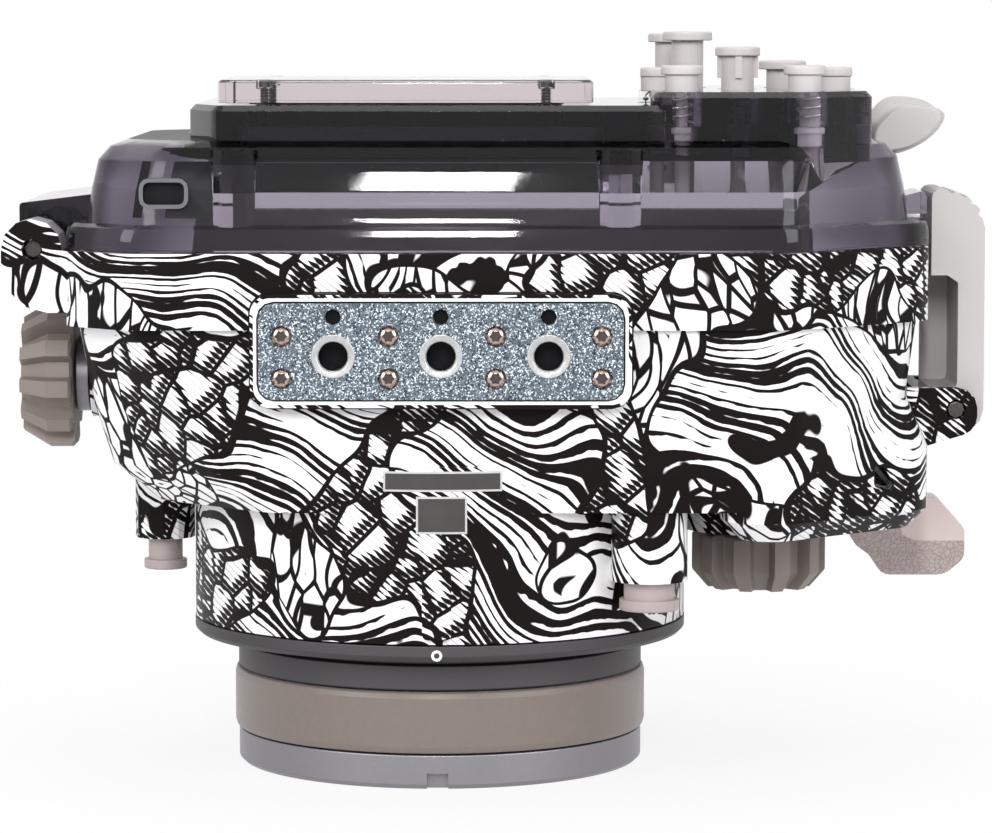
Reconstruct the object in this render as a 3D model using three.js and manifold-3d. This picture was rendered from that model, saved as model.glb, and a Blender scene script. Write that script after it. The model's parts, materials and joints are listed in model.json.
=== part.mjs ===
// Underwater housing for a mirrorless camera, standing on the front ring of its lens port.
// Millimetres. +Z runs from the lens port to the rear door, -Y is the underside with the
// tripod plate and +X is the side of the hand grip. The origin lies under the middle of the
// housing, on the surface that the port's front ring stands on.

import * as THREE from "three";
import { mergeVertices } from "three/addons/utils/BufferGeometryUtils.js";
import Module from "manifold-3d";

const wasm = await Module();
wasm.setup();

// Clearances
const gap = 0.3; // between two pieces that rest on each other
const runningGap = 0.6; // round what turns or slides
const overrun = 1; // how far a cutting tool stands out of what it cuts

// Bevels of moulded and turned edges
const edge = 1;
const fineEdge = 0.5;

// Rounds above these radii get these counts of flats
const flatCounts = [
  { above: 20, count: 40 },
  { above: 6, count: 24 },
  { above: 2, count: 12 },
  { above: 0, count: 8 },
];

// Lens port, levels counted from the surface it stands on
const portX = -11.1;
const portY = -6.1;
const frontRing = { radius: 36.35, top: 6, mouth: 31.5, lip: 29, lipLow: 2.4, seat: 3.6 };
const frontRingNotch = { width: 3.7, height: 2.8, depth: 2 };
const barrel = { nose: 32.9, body: 34, bore: 28, pocket: 31.3, ledge: 9.7 };
const collar = { radius: 36.4, bottom: 17.3, top: 23.1, grooveLow: 21.6, grooveRadius: 35.5 };
const bandRadius = 37;
const glass = { radius: 31, thickness: 4, sealInset: 1 };
const flange = { radius: 44.2, bottom: 23.4, top: 26.2 };
const spigot = { radius: 31, top: 31 };
const turret = { radius: 44.2, top: 57, wall: 5.5, lipThickness: 4.5 };
const turretRib = { width: 5, bottom: 27.4, top: 39.5, out: 1 };

// Front shell
const rim = { half: 75.4, nearY: -50, farY: 42, bottom: 80.4, top: 93.4 };
const corners = { left: 11, far: 9, grip: 24, gripX: 49.5, radius: 8, gripRadius: 12 };
const faceZ = 48.8; // front face of the shell round the turret
// Levels of a lofted shell: how far its sides and faces draw in and its corners are cut back
const shellLevels = [
  { z: faceZ, side: 15, face: 3, cut: 10 },
  { z: 55.5, side: 7, face: 1.5, cut: 10 },
  { z: 66, side: 4, face: 1.5, cut: 7 },
  { z: rim.bottom + gap, side: 1.9, face: 1.5, cut: 1 },
];
const bayLevels = [
  { z: 53.2, side: 15, face: 7.5, cut: 9 },
  { z: 59, side: 9, face: 6, cut: 8 },
  { z: 80, side: 6.8, face: 6, cut: 0 },
  { z: rim.top + gap, side: 6.8, face: 6, cut: 0 },
];
const bayFloorZ = bayLevels[0].z;
const grip = { bottom: 43.6, full: 47, top: 58, blend: 67, inX: 38, farY: 12, half: 75.6 };
const eyelet = { x: 67.6, z: 54, width: 5.4, height: 8.4, round: 1, far: 25 };

// Seal between the two halves
const sealGroove = { outer: 2.6, inner: 5.4, depth: 1.9 };

// Hinge of the door, along Y
const hinge = { x: -81.1, z: 93.5, radius: 5.3, pinRadius: 1.6, pinRecess: 3 };
const hingeLugs = [
  { from: -38, to: -27.4 },
  { from: 20, to: 30.6 },
];
const lugFootZ = 82.6;
const doorArm = { rise: 9.6, drop: 2, end: 3.2, reach: -68, fillet: 0.6 };

// Door
const doorBottom = rim.top + gap;
const doorFlangeTop = 98.2;
const doorFlangeLevels = [
  { z: doorBottom, side: 0, face: 0 },
  { z: doorFlangeTop - 2, side: 0, face: 0 },
  { z: doorFlangeTop - 0.6, side: 0.3, face: 0.5 },
  { z: doorFlangeTop, side: 0.9, face: 1.7 },
];
const domeLevels = [
  { z: doorFlangeTop - gap, side: 3.6, face: 2.2 },
  { z: 99.4, side: 3.7, face: 2.7 },
  { z: 104, side: 4.3, face: 3 },
  { z: 109, side: 5.4, face: 4 },
  { z: 111.3, side: 7.4, face: 5.6 },
  { z: 112.4, side: 10.4, face: 7.8 },
];
const doorBayLevels = [
  { z: doorBottom - gap, side: 8.2, face: 6.5 },
  { z: 103.5, side: 9.4, face: 6.5 },
  { z: 108.2, side: 13, face: 9.5 },
];
const screenBlock = { left: -54.3, right: 31, near: -42, far: 30, top: 118.4 };
const buttonBlock = { left: 25.6, right: 64.5, near: -42, far: 29, top: 120.7 };
// How far the near corners of a block are cut back: along its near face, then along its sides
const screenBlockCut = { leftNear: 5, leftSide: 14, right: 3 };
const buttonBlockCut = { leftNear: 1, leftSide: 4, right: 12 };
const blockRadius = 3;
const windowPlate = { x: -16.6, y: -11, width: 65, depth: 50, thickness: 4, radius: 3 };
const windowScrew = { dx: 24.4, dy: 21, radius: 1.5, depth: 1.6, thread: 3 };
const windowHole = { width: 55, depth: 41, radius: 3 };
const screenWell = { top: 114.6, wall: 4.2 };
const doorTubes = { x: [-45.6, 20.2], y: -45.6, radius: 4, top: 111 };
const shoulderPocket = { x: -57.5, z: 103.6, width: 7, height: 3.8, radius: 1, border: 0.7 };
const shoulderPocketY = { front: -47.9, floor: -45.6, back: -44.2 };
const catchBlock = { left: 72.2, right: 75.9, near: -12, far: 4, top: 102.8, slope: 1 };

// Thumb rest, and its section across the housing as shares of its box: across, up and round
const thumb = { near: -4, far: 26, left: 66, right: 80.4, low: 108.2, high: 119.4 };
const thumbShares = [
  [0, 0, 0.1],
  [0.52, 0, 0.44],
  [1, 0.41, 0.36],
  [1, 0.75, 0.18],
  [0.47, 1, 0.31],
  [0.22, 0.63, 0.18],
  [0, 0.52, 0.07],
];
const thumbLug = { left: 68, right: 71, bottom: 100, inset: 4 };
const thumbEnd = 6; // radius of its two ends seen from behind

// Rear push buttons: place on the door, level of the cap's top and what it is shaped like
const rearButtons = {
  low_left: { x: 31.2, y: -34, top: 125.2, cap: 3.65 },
  low_right: { x: 52.4, y: -34, top: 125.2, cap: 3.65 },
  pad_centre: { x: 42, y: -12, top: 128.2, cap: 4 },
  pad_right: { x: 59.2, y: -12, top: 124.6, cap: 3.2 },
  pad_left: { x: 27.6, y: -15, top: 124.6, cap: 3 },
  pad_up: { x: 51, y: 4, top: 125.6, cap: 4.3 },
  tall_near: { x: 33.8, y: 5, top: 130.8, cap: 4.5 },
  tall_far: { x: 31.4, y: 20, top: 130.4, cap: 4.2 },
};
const ribbedButton = "pad_centre";
const button = { capHeight: 1.6, stem: 2.9, shaft: 1.3, tip: 104.6 };
const buttonRib = { out: 1, width: 2, foot: 2 };
const pocket = { radius: 3.7, floor: 114.8 };
const gland = { radius: 2.6, bottom: 111.2, lip: 2.1, lipTop: 113.4 };
const spring = { radius: 2.3, wire: 0.28, curls: 3 };
const springSides = 5;
const curlSteps = 8;
const springGaps = [];

// Side latch
const latch = { x: 80.8, z: 64, left: 76.5, right: 86, bottom: 59.6, top: 103 };
const latchSpan = { near: -15, far: 7 };
const latchNotch = { bottom: 67.6, top: 87.7, armLeft: 81.3, slopeRun: 1.9, slope: 1.3, web: 3 };
const latchRounds = { end: 4.3, crown: 7, hook: 1.5, root: 1 };
const latchRibs = { count: 4, first: 22, step: 20, depth: 0.6, width: 1.2 }; // angles in degrees
const latchEar = { thickness: 2.7, radius: 3.8, pinRadius: 1.5, foot: 72 };

// Zoom knob on the left wall
// Ribs of a knob: how much of their pitch they take at the foot and at the crest
const ribShares = { foot: 0.52, crest: 0.4 };
const knobDish = { depth: 1, floorShare: 0.42, mouthShare: 0.46 };
const zoom = { y: -12, z: 70, radius: 13.1, height: 9.3, ribs: 11, ribDepth: 2.2, shaft: 1.6 };
const zoomChamfer = { out: 2.9, along: 4.8 };
const zoomX = { inner: -75.9, boss: -73, glandEnd: -67.6, gearStart: -66.6, gearEnd: -62.4 };
const zoomGland = { radius: 6.7, spigot: 4.4, bossRadius: 7.7 };
const zoomGear = { radius: 5.6, teeth: 14, depth: 1 };

// Front dial on the grip
const dial = { x: 46.3, y: -10, radius: 12, height: 10, ribs: 10, ribDepth: 1.4, shaft: 1.6 };
const dialChamfer = { out: 2.8, along: 3.2 };
const dialZ = { boss: 42, wheelLow: 55, wheelTop: 60 };
const dialInnerZ = dialZ.boss - runningGap;
const dialBossRadius = 13.4;
const dialWheelRadius = 5.4;

// Mode dial on the far side, which is the top of the camera
const mode = { x: 38, z: 72, radius: 12.5, height: 8.4, ribs: 12, ribDepth: 1.3, shaft: 1.6 };
const modeChamfer = { out: 2, along: 2.4 };
const modeBoss = { radius: 10.5, height: 2 };
const modeCup = { radius: 7, wall: 1.8, top: 33, low: 28.4 };
const modeBossY = rim.farY + modeBoss.height;
const modeInnerY = modeBossY + runningGap;

// Shutter lever before the grip, turning about Z
const lever = { x: 58.6, y: 23, shaft: 1.6, near: 17.5, far: 28.5 };
const paddle = { left: 53.2, right: 86.4, low: 29.8, high: 48.2 };
// Outline of the paddle as shares of its box: across, up and round
const paddleShares = [
  [0, 1, 0.08],
  [0, 0.75, 0.05],
  [0.28, 0.7, 0.08],
  [0.39, 0.3, 0.11],
  [0.46, 0.21, 0.11],
  [0.54, 0, 0.14],
  [0.89, 0, 0.22],
  [1, 0.17, 0.14],
  [1, 0.47, 0.14],
  [0.855, 0.77, 0.08],
  [0.69, 0.78, 0.05],
  [0.45, 1, 0.11],
];
const leverArm = { low: 55.4, top: 58.6, reach: 15, width: 6 };
const leverSpring = { radius: 3.4, wire: 0.35, curls: 2, height: 3.4 };
const leverHead = { radius: 4.2, thickness: 1.2 };

// Buttons on the front
const release = { x: 25.6, y: -40, cap: 5.2, stem: 4.4, boss: 36.4, rise: 3.2, capHeight: 2 };
const releaseBossRadius = 6.6;
const leftButton = { x: -61.2, y: 0, cap: 3.9, stem: 3.1, boss: 39.2, rise: 4, capHeight: 1.8 };
const leftBossRadius = 5.4;
const frontButton = { shaft: 1.5, tip: 56.4, seat: 1, pocketDepth: 6.4, springRadius: 2.6, curls: 4 };
const boreRun = 5.5; // how far the bores of the front shafts run on past the floor of the bay
const bossFoot = 3; // how deep the bosses of the far side reach into its wall

// Power button and accessory shoe on the far side
const power = { x: 10, z: 70, cap: 4.4, stem: 3.2, shaft: 1.5, rise: 2.2, capHeight: 2.2, tip: 31 };
const powerBoss = { radius: 6, height: 2.6, pocketDepth: 4 };
const powerBossY = rim.farY + powerBoss.height;
const shoe = { x: -22, z: 70, width: 25, length: 20, height: 5.4, radius: 2 };
const shoeSlot = { width: 18.6, floor: 2, roof: 1.4, lip: 3.4, stop: 2 };

// Tripod plate in its raised frame on the underside
const plate = { x: -10.3, z: 77, width: 62, height: 16.4, front: -53, back: -50.8, radius: 2.6 };
const plateFrame = { border: 1.6, front: -52.4, back: -47, radius: 3.6 };
const tripodHoles = { pitch: 18.3, z: 76.2, bore: 2.7, depth: 6.2, pinZ: 82.9, pin: 1.4 };
const plateScrews = { dx: [-27.1, -8.9, 9.3, 27.3], dz: [-4.6, 2.6], radius: 1.9, depth: 0.9 };

// Camera tray inside
const tray = { left: -46, right: 38, back: -43.7, face: -41.2, low: 60.5, top: 91, radius: 4 };
const trayStop = { height: 7, thickness: 2.4, radius: 1 };
const traySlot = { width: 24, low: 72.5, top: 78.5, radius: 2.9 };

const finishes = {
  shell: finish(0xf0eeee, 0.35),
  door: finish(0x4a474c, 0.12, { transparent: true, opacity: 0.6 }),
  clear: finish(0xe6dfe2, 0.06, { transparent: true, opacity: 0.35 }),
  button: finish(0xd8d3d0, 0.45),
  knob: finish(0x8f8881, 0.5),
  latch: finish(0xcfc9c5, 0.4),
  band: finish(0x9c9084, 0.8),
  seal: finish(0x1c1c1e, 0.85),
  darkMetal: finish(0x4d4b4d, 0.45, { metalness: 0.7 }),
  ringMetal: finish(0x77747a, 0.38, { metalness: 0.8 }),
  plateMetal: finish(0x8d93a0, 0.42, { metalness: 0.8 }),
  steel: finish(0xb9bbbe, 0.3, { metalness: 0.9 }),
  bush: finish(0xe8e8e6, 0.5),
};

function finish(color, roughness, more = {}) {
  return new THREE.MeshStandardMaterial({ color, roughness, metalness: 0, ...more });
}

const flats = (radius) => flatCounts.find(({ above }) => radius > above).count;

// A closed geometry as a solid for joining and cutting, its faces pointing out
function solid(geometry) {
  const bare = geometry.clone();
  ["normal", "uv"].forEach((name) => bare.deleteAttribute(name));
  const merged = mergeVertices(bare);
  const index = merged.index.array;
  const faces = [];
  for (let i = 0; i < index.length; i += 3) {
    const [a, b, c] = index.subarray(i, i + 3);
    if (a !== b && b !== c && c !== a) faces.push(a, b, c);
  }
  const made = fromFaces(merged.attributes.position.array, faces);
  return made.volume() > 0 ? made : fromFaces(merged.attributes.position.array, faces.reverse());
}

function fromFaces(positions, faces) {
  const mesh = { numProp: 3, vertProperties: positions, triVerts: Uint32Array.from(faces) };
  return new wasm.Manifold(new wasm.Mesh(mesh));
}

function geometryOf(body) {
  const mesh = body.getMesh();
  const geometry = new THREE.BufferGeometry();
  geometry.setAttribute("position", new THREE.BufferAttribute(mesh.vertProperties, 3));
  geometry.setIndex(new THREE.BufferAttribute(mesh.triVerts, 1));
  const flat = geometry.toNonIndexed();
  flat.computeVertexNormals();
  return flat;
}

const joined = (bodies) => bodies.reduce((whole, body) => whole.add(body));
const cut = (body, tools) => tools.reduce((whole, tool) => whole.subtract(tool), body);

// Corners moved inwards by a distance, their radii shrinking with them
function inset(outline, distance) {
  return outline.map((corner, i) => {
    const into = direction(outline.at(i - 1), corner);
    const out = direction(corner, outline[(i + 1) % outline.length]);
    const shift = distance / (1 + into.x * out.x + into.y * out.y);
    return {
      x: corner.x - (into.y + out.y) * shift,
      y: corner.y + (into.x + out.x) * shift,
      r: Math.max(corner.r - distance, gap),
    };
  });
}

function direction(from, to) {
  return new THREE.Vector2(to.x - from.x, to.y - from.y).normalize();
}

// A closed outline whose corners are arcs, each in the same number of steps
function rounded(outline, steps = 3) {
  return outline.flatMap((corner, i) => {
    const into = direction(outline.at(i - 1), corner);
    const out = direction(corner, outline[(i + 1) % outline.length]);
    const turn = Math.atan2(into.cross(out), into.dot(out));
    const side = Math.sign(turn);
    const reach = corner.r * Math.tan(Math.abs(turn) / 2);
    const start = new THREE.Vector2(corner.x - into.x * reach, corner.y - into.y * reach);
    const centreX = start.x - into.y * corner.r * side;
    const centreY = start.y + into.x * corner.r * side;
    const first = Math.atan2(start.y - centreY, start.x - centreX);
    return Array.from({ length: steps + 1 }, (_, step) => {
      const angle = first + (turn * step) / steps;
      return new THREE.Vector2(
        centreX + Math.cos(angle) * corner.r,
        centreY + Math.sin(angle) * corner.r,
      );
    });
  });
}

function box(left, right, low, high, radius) {
  return [
    { x: left, y: low, r: radius },
    { x: right, y: low, r: radius },
    { x: right, y: high, r: radius },
    { x: left, y: high, r: radius },
  ];
}

// Corners from shares of a box, their radii as shares of its height
function shaped(shares, { left, right, low, high }) {
  return shares.map(([across, up, round]) => ({
    x: left + (right - left) * across,
    y: low + (high - low) * up,
    r: (high - low) * round,
  }));
}

// A closed body through outlines of equal counts, the lowest first
function skin(levels) {
  const count = levels[0].outline.length;
  const points = levels.flatMap(({ z, outline }) => outline.flatMap((p) => [p.x, p.y, z]));
  const faces = [];
  levels.slice(1).forEach((_, level) => {
    const low = level * count;
    const high = low + count;
    for (let i = 0; i < count; i++) {
      const next = (i + 1) % count;
      faces.push(low + i, low + next, high + next, low + i, high + next, high + i);
    }
  });
  const last = (levels.length - 1) * count;
  const bottom = THREE.ShapeUtils.triangulateShape(levels[0].outline, []);
  const top = THREE.ShapeUtils.triangulateShape(levels.at(-1).outline, []);
  bottom.forEach(([a, b, c]) => faces.push(a, c, b));
  top.forEach(([a, b, c]) => faces.push(last + a, last + b, last + c));
  const geometry = new THREE.BufferGeometry();
  geometry.setAttribute("position", new THREE.Float32BufferAttribute(points, 3));
  geometry.setIndex(faces);
  return geometry;
}

const prism = (outline, low, high) => skin([{ z: low, outline }, { z: high, outline }]);

// A prism along Y, its outline given as X and Z
function slab(outline, fromY, toY) {
  return solid(prism(outline, -toY, -fromY).rotateX(Math.PI / 2));
}

// A cylinder or cone between two points
function rod(radius, from, to, endRadius = radius) {
  const span = to.clone().sub(from);
  const round = new THREE.CylinderGeometry(endRadius, radius, span.length(), flats(radius));
  const turn = new THREE.Quaternion().setFromUnitVectors(
    new THREE.Vector3(0, 1, 0),
    span.clone().normalize(),
  );
  round.applyQuaternion(turn);
  const middle = from.clone().addScaledVector(span, 1 / 2);
  return solid(round.translate(middle.x, middle.y, middle.z));
}

const at = (x, y, z) => new THREE.Vector3(x, y, z);
const upright = (radius, x, y, low, high) => rod(radius, at(x, y, low), at(x, y, high));
const alongX = (radius, { y, z }, from, to) => rod(radius, at(from, y, z), at(to, y, z));
const alongY = (radius, { x, z }, from, to) => rod(radius, at(x, from, z), at(x, to, z));

// A body turned about the Z axis from pairs of radius and height
function turned(profile, count = flats(Math.max(...profile.map(([radius]) => radius)))) {
  const points = profile.map(([radius, height]) => new THREE.Vector2(radius, height));
  return solid(new THREE.LatheGeometry(points, count).rotateX(Math.PI / 2));
}

const ring = (inner, outer, low, high) =>
  turned([
    [inner, low],
    [outer, low],
    [outer, high],
    [inner, high],
    [inner, low],
  ]);

// A round outline with teeth
function toothed(radius, teeth, depth, stepsPerTooth = 4) {
  const count = teeth * stepsPerTooth;
  return Array.from({ length: count }, (_, i) => {
    const angle = (i / count) * 2 * Math.PI;
    const reach = radius - (depth * (1 - Math.cos(angle * teeth))) / 2;
    return new THREE.Vector2(Math.cos(angle) * reach, Math.sin(angle) * reach);
  });
}

class Helix extends THREE.Curve {
  constructor(radius, height, turns) {
    super();
    Object.assign(this, { radius, height, turns });
  }

  getPoint(share, target = new THREE.Vector3()) {
    const angle = share * this.turns * 2 * Math.PI;
    const x = Math.cos(angle) * this.radius;
    const y = Math.sin(angle) * this.radius;
    return target.set(x, y, share * this.height);
  }
}

// Least gap between the turns of a coil, measured on points of its path
function leastGap(path, wire) {
  const points = path.getPoints(path.turns * curlSteps * 2);
  const halfTurn = curlSteps;
  const spans = points.flatMap((from, i) => points.slice(i + halfTurn).map((to) => from.distanceTo(to)));
  return Math.min(...spans) - 2 * wire;
}

// A coil spring that stands on the origin
function coil(radius, wire, height, curls) {
  const section = new THREE.Shape(
    Array.from({ length: springSides }, (_, i) => {
      const angle = (i / springSides) * 2 * Math.PI;
      return new THREE.Vector2(Math.cos(angle) * wire, Math.sin(angle) * wire);
    }),
  );
  const path = new Helix(radius, height - 2 * wire, curls);
  const wound = new THREE.ExtrudeGeometry(section, {
    steps: curls * curlSteps,
    extrudePath: path,
    curveSegments: 1,
  });
  springGaps.push(leastGap(path, wire));
  return solid(wound.translate(0, 0, wire));
}

// Outline of the shell, drawn in from the rim at the sides and the faces
function shellCorners({ side, face, cut: back = 0 }) {
  const left = -rim.half + side;
  const right = rim.half - side;
  const near = rim.nearY + face;
  const far = rim.farY - face;
  const r = corners.radius;
  return [
    { x: left + corners.left + back, y: near, r },
    { x: corners.gripX, y: near, r },
    { x: right, y: near + corners.grip, r: corners.gripRadius },
    { x: right, y: far - corners.far, r },
    { x: right - corners.far, y: far, r },
    { x: left + corners.far + back, y: far, r },
    { x: left, y: far - corners.far - back, r },
    { x: left, y: near + corners.left + back, r },
  ];
}

const rimCorners = shellCorners({ side: 0, face: 0 });

function shellSkin(levels) {
  return solid(
    skin(levels.map((level) => ({ z: level.z, outline: rounded(shellCorners(level)) }))),
  );
}

function gripSkin() {
  const near = rim.nearY + shellLevels[1].face;
  const outline = (trim) =>
    rounded(
      inset(
        [
          { x: grip.inX, y: near, r: corners.radius },
          { x: corners.gripX, y: near, r: corners.radius },
          { x: grip.half, y: near + corners.grip, r: corners.gripRadius },
          { x: grip.half, y: grip.farY, r: corners.radius },
          { x: grip.inX, y: grip.farY, r: corners.radius },
        ],
        trim,
      ),
    );
  return solid(
    skin([
      { z: grip.bottom, outline: outline(grip.full - grip.bottom) },
      { z: grip.full, outline: outline(0) },
      { z: grip.top, outline: outline(0) },
      { z: grip.blend, outline: outline(corners.radius / 2) },
    ]),
  );
}

function turretSolid() {
  const low = flange.top + gap;
  const ribY = portY - turret.radius;
  return joined([
    upright(turret.radius, portX, portY, low, turret.top),
    slab(
      rounded(
        box(
          portX - turretRib.width / 2,
          portX + turretRib.width / 2,
          turretRib.bottom,
          turretRib.top,
          turretRib.out,
        ),
      ),
      ribY - turretRib.out,
      ribY + turret.wall,
    ),
  ]);
}

// The turret's bore: a narrow lip that holds the port, then room for the lens
function lensTunnel() {
  const lipTop = flange.top + gap + turret.lipThickness;
  const inner = turret.radius - turret.wall;
  return joined([
    upright(spigot.radius + gap, portX, portY, flange.top - gap, lipTop + gap),
    upright(inner, portX, portY, lipTop, bayFloorZ + gap),
  ]);
}

function plateOutline(grow, radius) {
  return rounded(
    box(
      plate.x - plate.width / 2 - grow,
      plate.x + plate.width / 2 + grow,
      plate.z - plate.height / 2 - grow,
      plate.z + plate.height / 2 + grow,
      radius,
    ),
  );
}

function hingeLug({ from, to }) {
  const foot = [
    { x: hinge.x - hinge.radius, y: hinge.z, r: gap },
    { x: hinge.x - hinge.radius, y: lugFootZ, r: hinge.radius * 1.5 },
    { x: -rim.half + corners.radius, y: lugFootZ, r: gap },
    { x: -rim.half + corners.radius, y: rim.top, r: gap },
    { x: hinge.x, y: rim.top, r: gap },
  ];
  return joined([alongY(hinge.radius, hinge, from, to), slab(rounded(foot), from, to)]);
}

function latchEars() {
  const outline = [
    { x: latchEar.foot, y: latch.z - latchEar.radius * 2, r: gap },
    { x: latch.x + latchEar.radius, y: latch.z - latchEar.radius, r: latchEar.radius - gap },
    { x: latch.x + latchEar.radius, y: latch.z + latchEar.radius, r: latchEar.radius - gap },
    { x: latchEar.foot, y: latch.z + latchEar.radius, r: gap },
  ];
  const nearEar = latchSpan.near - gap - latchEar.thickness;
  const farEar = latchSpan.far + gap;
  return [nearEar, farEar].map((y) => slab(rounded(outline), y, y + latchEar.thickness));
}

function sealGrooveSolid(low) {
  const outer = rounded(inset(rimCorners, sealGroove.outer));
  const inner = rounded(inset(rimCorners, sealGroove.inner));
  const high = rim.top + gap;
  return solid(prism(outer, low, high)).subtract(solid(prism(inner, low - gap, high + gap)));
}

function eyeletHole() {
  const { x, z, width, height, round: r } = eyelet;
  const outline = [
    { x: x - width / 2, y: z + height / 2, r },
    { x: x - width / 2, y: z - height / 4, r },
    { x: x + width / 2, y: z - height / 2, r },
  ];
  return slab(rounded(outline), rim.nearY, eyelet.far);
}

function frontShellBosses() {
  const foot = rim.farY - bossFoot;
  return [
    upright(dialBossRadius, dial.x, dial.y, dialZ.boss, bayFloorZ),
    upright(releaseBossRadius, release.x, release.y, release.boss, bayFloorZ + gap),
    upright(leftBossRadius, leftButton.x, leftButton.y, leftButton.boss, bayFloorZ + gap),
    alongX(zoomGland.bossRadius, zoom, zoomX.boss, zoomX.glandEnd),
    alongY(modeBoss.radius, mode, modeBossY, foot),
    alongY(powerBoss.radius, power, powerBossY, foot),
  ];
}

// Bores for every shaft that passes through the front shell
function tripodBlindHoles() {
  return [-1, 0, 1].map((step) => {
    const place = { x: plate.x + step * tripodHoles.pitch, z: tripodHoles.z };
    return alongY(tripodHoles.bore, place, plate.back, plate.front + tripodHoles.depth);
  });
}

function shaftBores() {
  const through = bayFloorZ + boreRun;
  const farWall = rim.farY - bayLevels.at(-1).face - overrun;
  return [
    upright(dial.shaft + gap, dial.x, dial.y, dialZ.boss - gap, through),
    upright(lever.shaft + gap, lever.x, lever.y, faceZ - gap, through),
    ...[release, leftButton].flatMap((one) => [
      upright(frontButton.shaft + gap, one.x, one.y, one.boss - gap, through),
      upright(one.stem + gap, one.x, one.y, one.boss - gap, one.boss + frontButton.pocketDepth),
    ]),
    alongX(zoomGland.spigot + gap, zoom, zoomX.boss - gap, zoomX.gearEnd),
    alongY(mode.shaft + gap, mode, modeBossY + gap, farWall),
    alongY(power.shaft + gap, power, powerBossY + gap, farWall),
    alongY(power.stem + gap, power, powerBossY + gap, powerBossY - powerBoss.pocketDepth),
    latchBore(),
    hingeBore(),
  ];
}

const latchPinEnd = () => latchSpan.far + gap + latchEar.thickness;
const latchPinStart = () => latchSpan.near - gap - latchEar.thickness;
const latchBore = () =>
  alongY(latchEar.pinRadius + gap, latch, latchPinStart() - overrun, latchPinEnd() + overrun);
const hingeBore = () => alongY(hinge.pinRadius + gap, hinge, rim.nearY, rim.farY);

function frontShell() {
  const outside = joined([
    shellSkin(shellLevels),
    shellSkin([rim.bottom, rim.top].map((z) => ({ z, side: 0, face: 0 }))),
    gripSkin(),
    turretSolid(),
    slab(plateOutline(plateFrame.border, plateFrame.radius), plateFrame.front, plateFrame.back),
    ...hingeLugs.map(hingeLug),
    ...latchEars(),
    ...frontShellBosses(),
  ]);
  return cut(outside, [
    shellSkin(bayLevels),
    lensTunnel(),
    sealGrooveSolid(rim.top - sealGroove.depth),
    slab(plateOutline(gap, plate.radius + gap), plate.front - gap, plate.back + gap),
    eyeletHole(),
    ...tripodBlindHoles(),
    ...shaftBores(),
  ]);
}

function frontRingSolid() {
  const { radius, top, mouth, lip, lipLow, seat } = frontRing;
  const whole = turned([
    [mouth, 0],
    [radius - edge, 0],
    [radius, edge],
    [radius, top],
    [barrel.nose + gap, top],
    [barrel.nose + gap, seat],
    [lip, seat],
    [lip, lipLow],
    [mouth, lipLow],
    [mouth, 0],
  ]);
  const half = frontRingNotch.width / 2;
  const mouthOfNotch = rounded(box(-half, half, -gap, frontRingNotch.height, gap), 2);
  return whole.subtract(slab(mouthOfNotch, -radius - gap, -radius + frontRingNotch.depth));
}

function barrelSolid() {
  const seat = frontRing.seat + gap;
  return turned([
    [barrel.pocket, seat],
    [barrel.nose, seat],
    [barrel.nose, frontRing.top + gap],
    [barrel.body, frontRing.top + gap],
    [barrel.body, collar.bottom],
    [collar.radius, collar.bottom],
    [collar.radius, collar.grooveLow],
    [collar.grooveRadius, collar.grooveLow + gap],
    [collar.grooveRadius, collar.top],
    [spigot.radius, collar.top],
    [spigot.radius, spigot.top],
    [barrel.bore, spigot.top],
    [barrel.bore, barrel.ledge],
    [barrel.pocket, barrel.ledge],
    [barrel.pocket, seat],
  ]);
}

function glassSolid() {
  const low = frontRing.seat + gap;
  return turned([
    [0, low],
    [glass.radius - edge, low],
    [glass.radius, low + edge],
    [glass.radius, low + glass.thickness],
    [0, low + glass.thickness],
  ]);
}

const glassTop = frontRing.seat + gap + glass.thickness;
const glassSealSolid = () =>
  ring(barrel.bore + glass.sealInset, glass.radius, glassTop + gap, barrel.ledge - gap);

// Rubber sleeve round the barrel
function bandSolid() {
  const low = frontRing.top + gap;
  const high = collar.bottom - gap;
  const inner = barrel.body + gap;
  return turned([
    [inner, low],
    [bandRadius - fineEdge, low],
    [bandRadius, low + edge],
    [bandRadius, high - edge],
    [bandRadius - fineEdge, high],
    [inner, high],
    [inner, low],
  ]);
}

function flangeSolid() {
  const inner = spigot.radius + gap;
  return turned([
    [inner, flange.bottom],
    [flange.radius - edge, flange.bottom],
    [flange.radius, flange.bottom + edge],
    [flange.radius, flange.top],
    [inner, flange.top],
    [inner, flange.bottom],
  ]);
}

function mainSealSolid() {
  const low = rim.top - sealGroove.depth + gap;
  const outer = rounded(inset(rimCorners, sealGroove.outer + gap));
  const inner = rounded(inset(rimCorners, sealGroove.inner - gap));
  return solid(prism(outer, low, rim.top)).subtract(
    solid(prism(inner, low - gap, rim.top + gap)),
  );
}

function tripodPlateSolid() {
  const whole = slab(plateOutline(0, plate.radius), plate.front, plate.back);
  const bores = [-1, 0, 1].flatMap((step) => {
    const x = plate.x + step * tripodHoles.pitch;
    return [
      { x, z: tripodHoles.z, radius: tripodHoles.bore, deep: plate.back + gap },
      { x, z: tripodHoles.pinZ, radius: tripodHoles.pin, deep: plate.back + gap },
    ];
  });
  const seats = plateScrews.dx.flatMap((dx) =>
    plateScrews.dz.map((dz) => ({
      x: plate.x + dx,
      z: plate.z + dz,
      radius: plateScrews.radius,
      deep: plate.front + plateScrews.depth,
    })),
  );
  return cut(
    whole,
    [...bores, ...seats].map(({ x, z, radius, deep }) =>
      rod(radius, at(x, plate.front - gap, z), at(x, deep, z)),
    ),
  );
}

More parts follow.
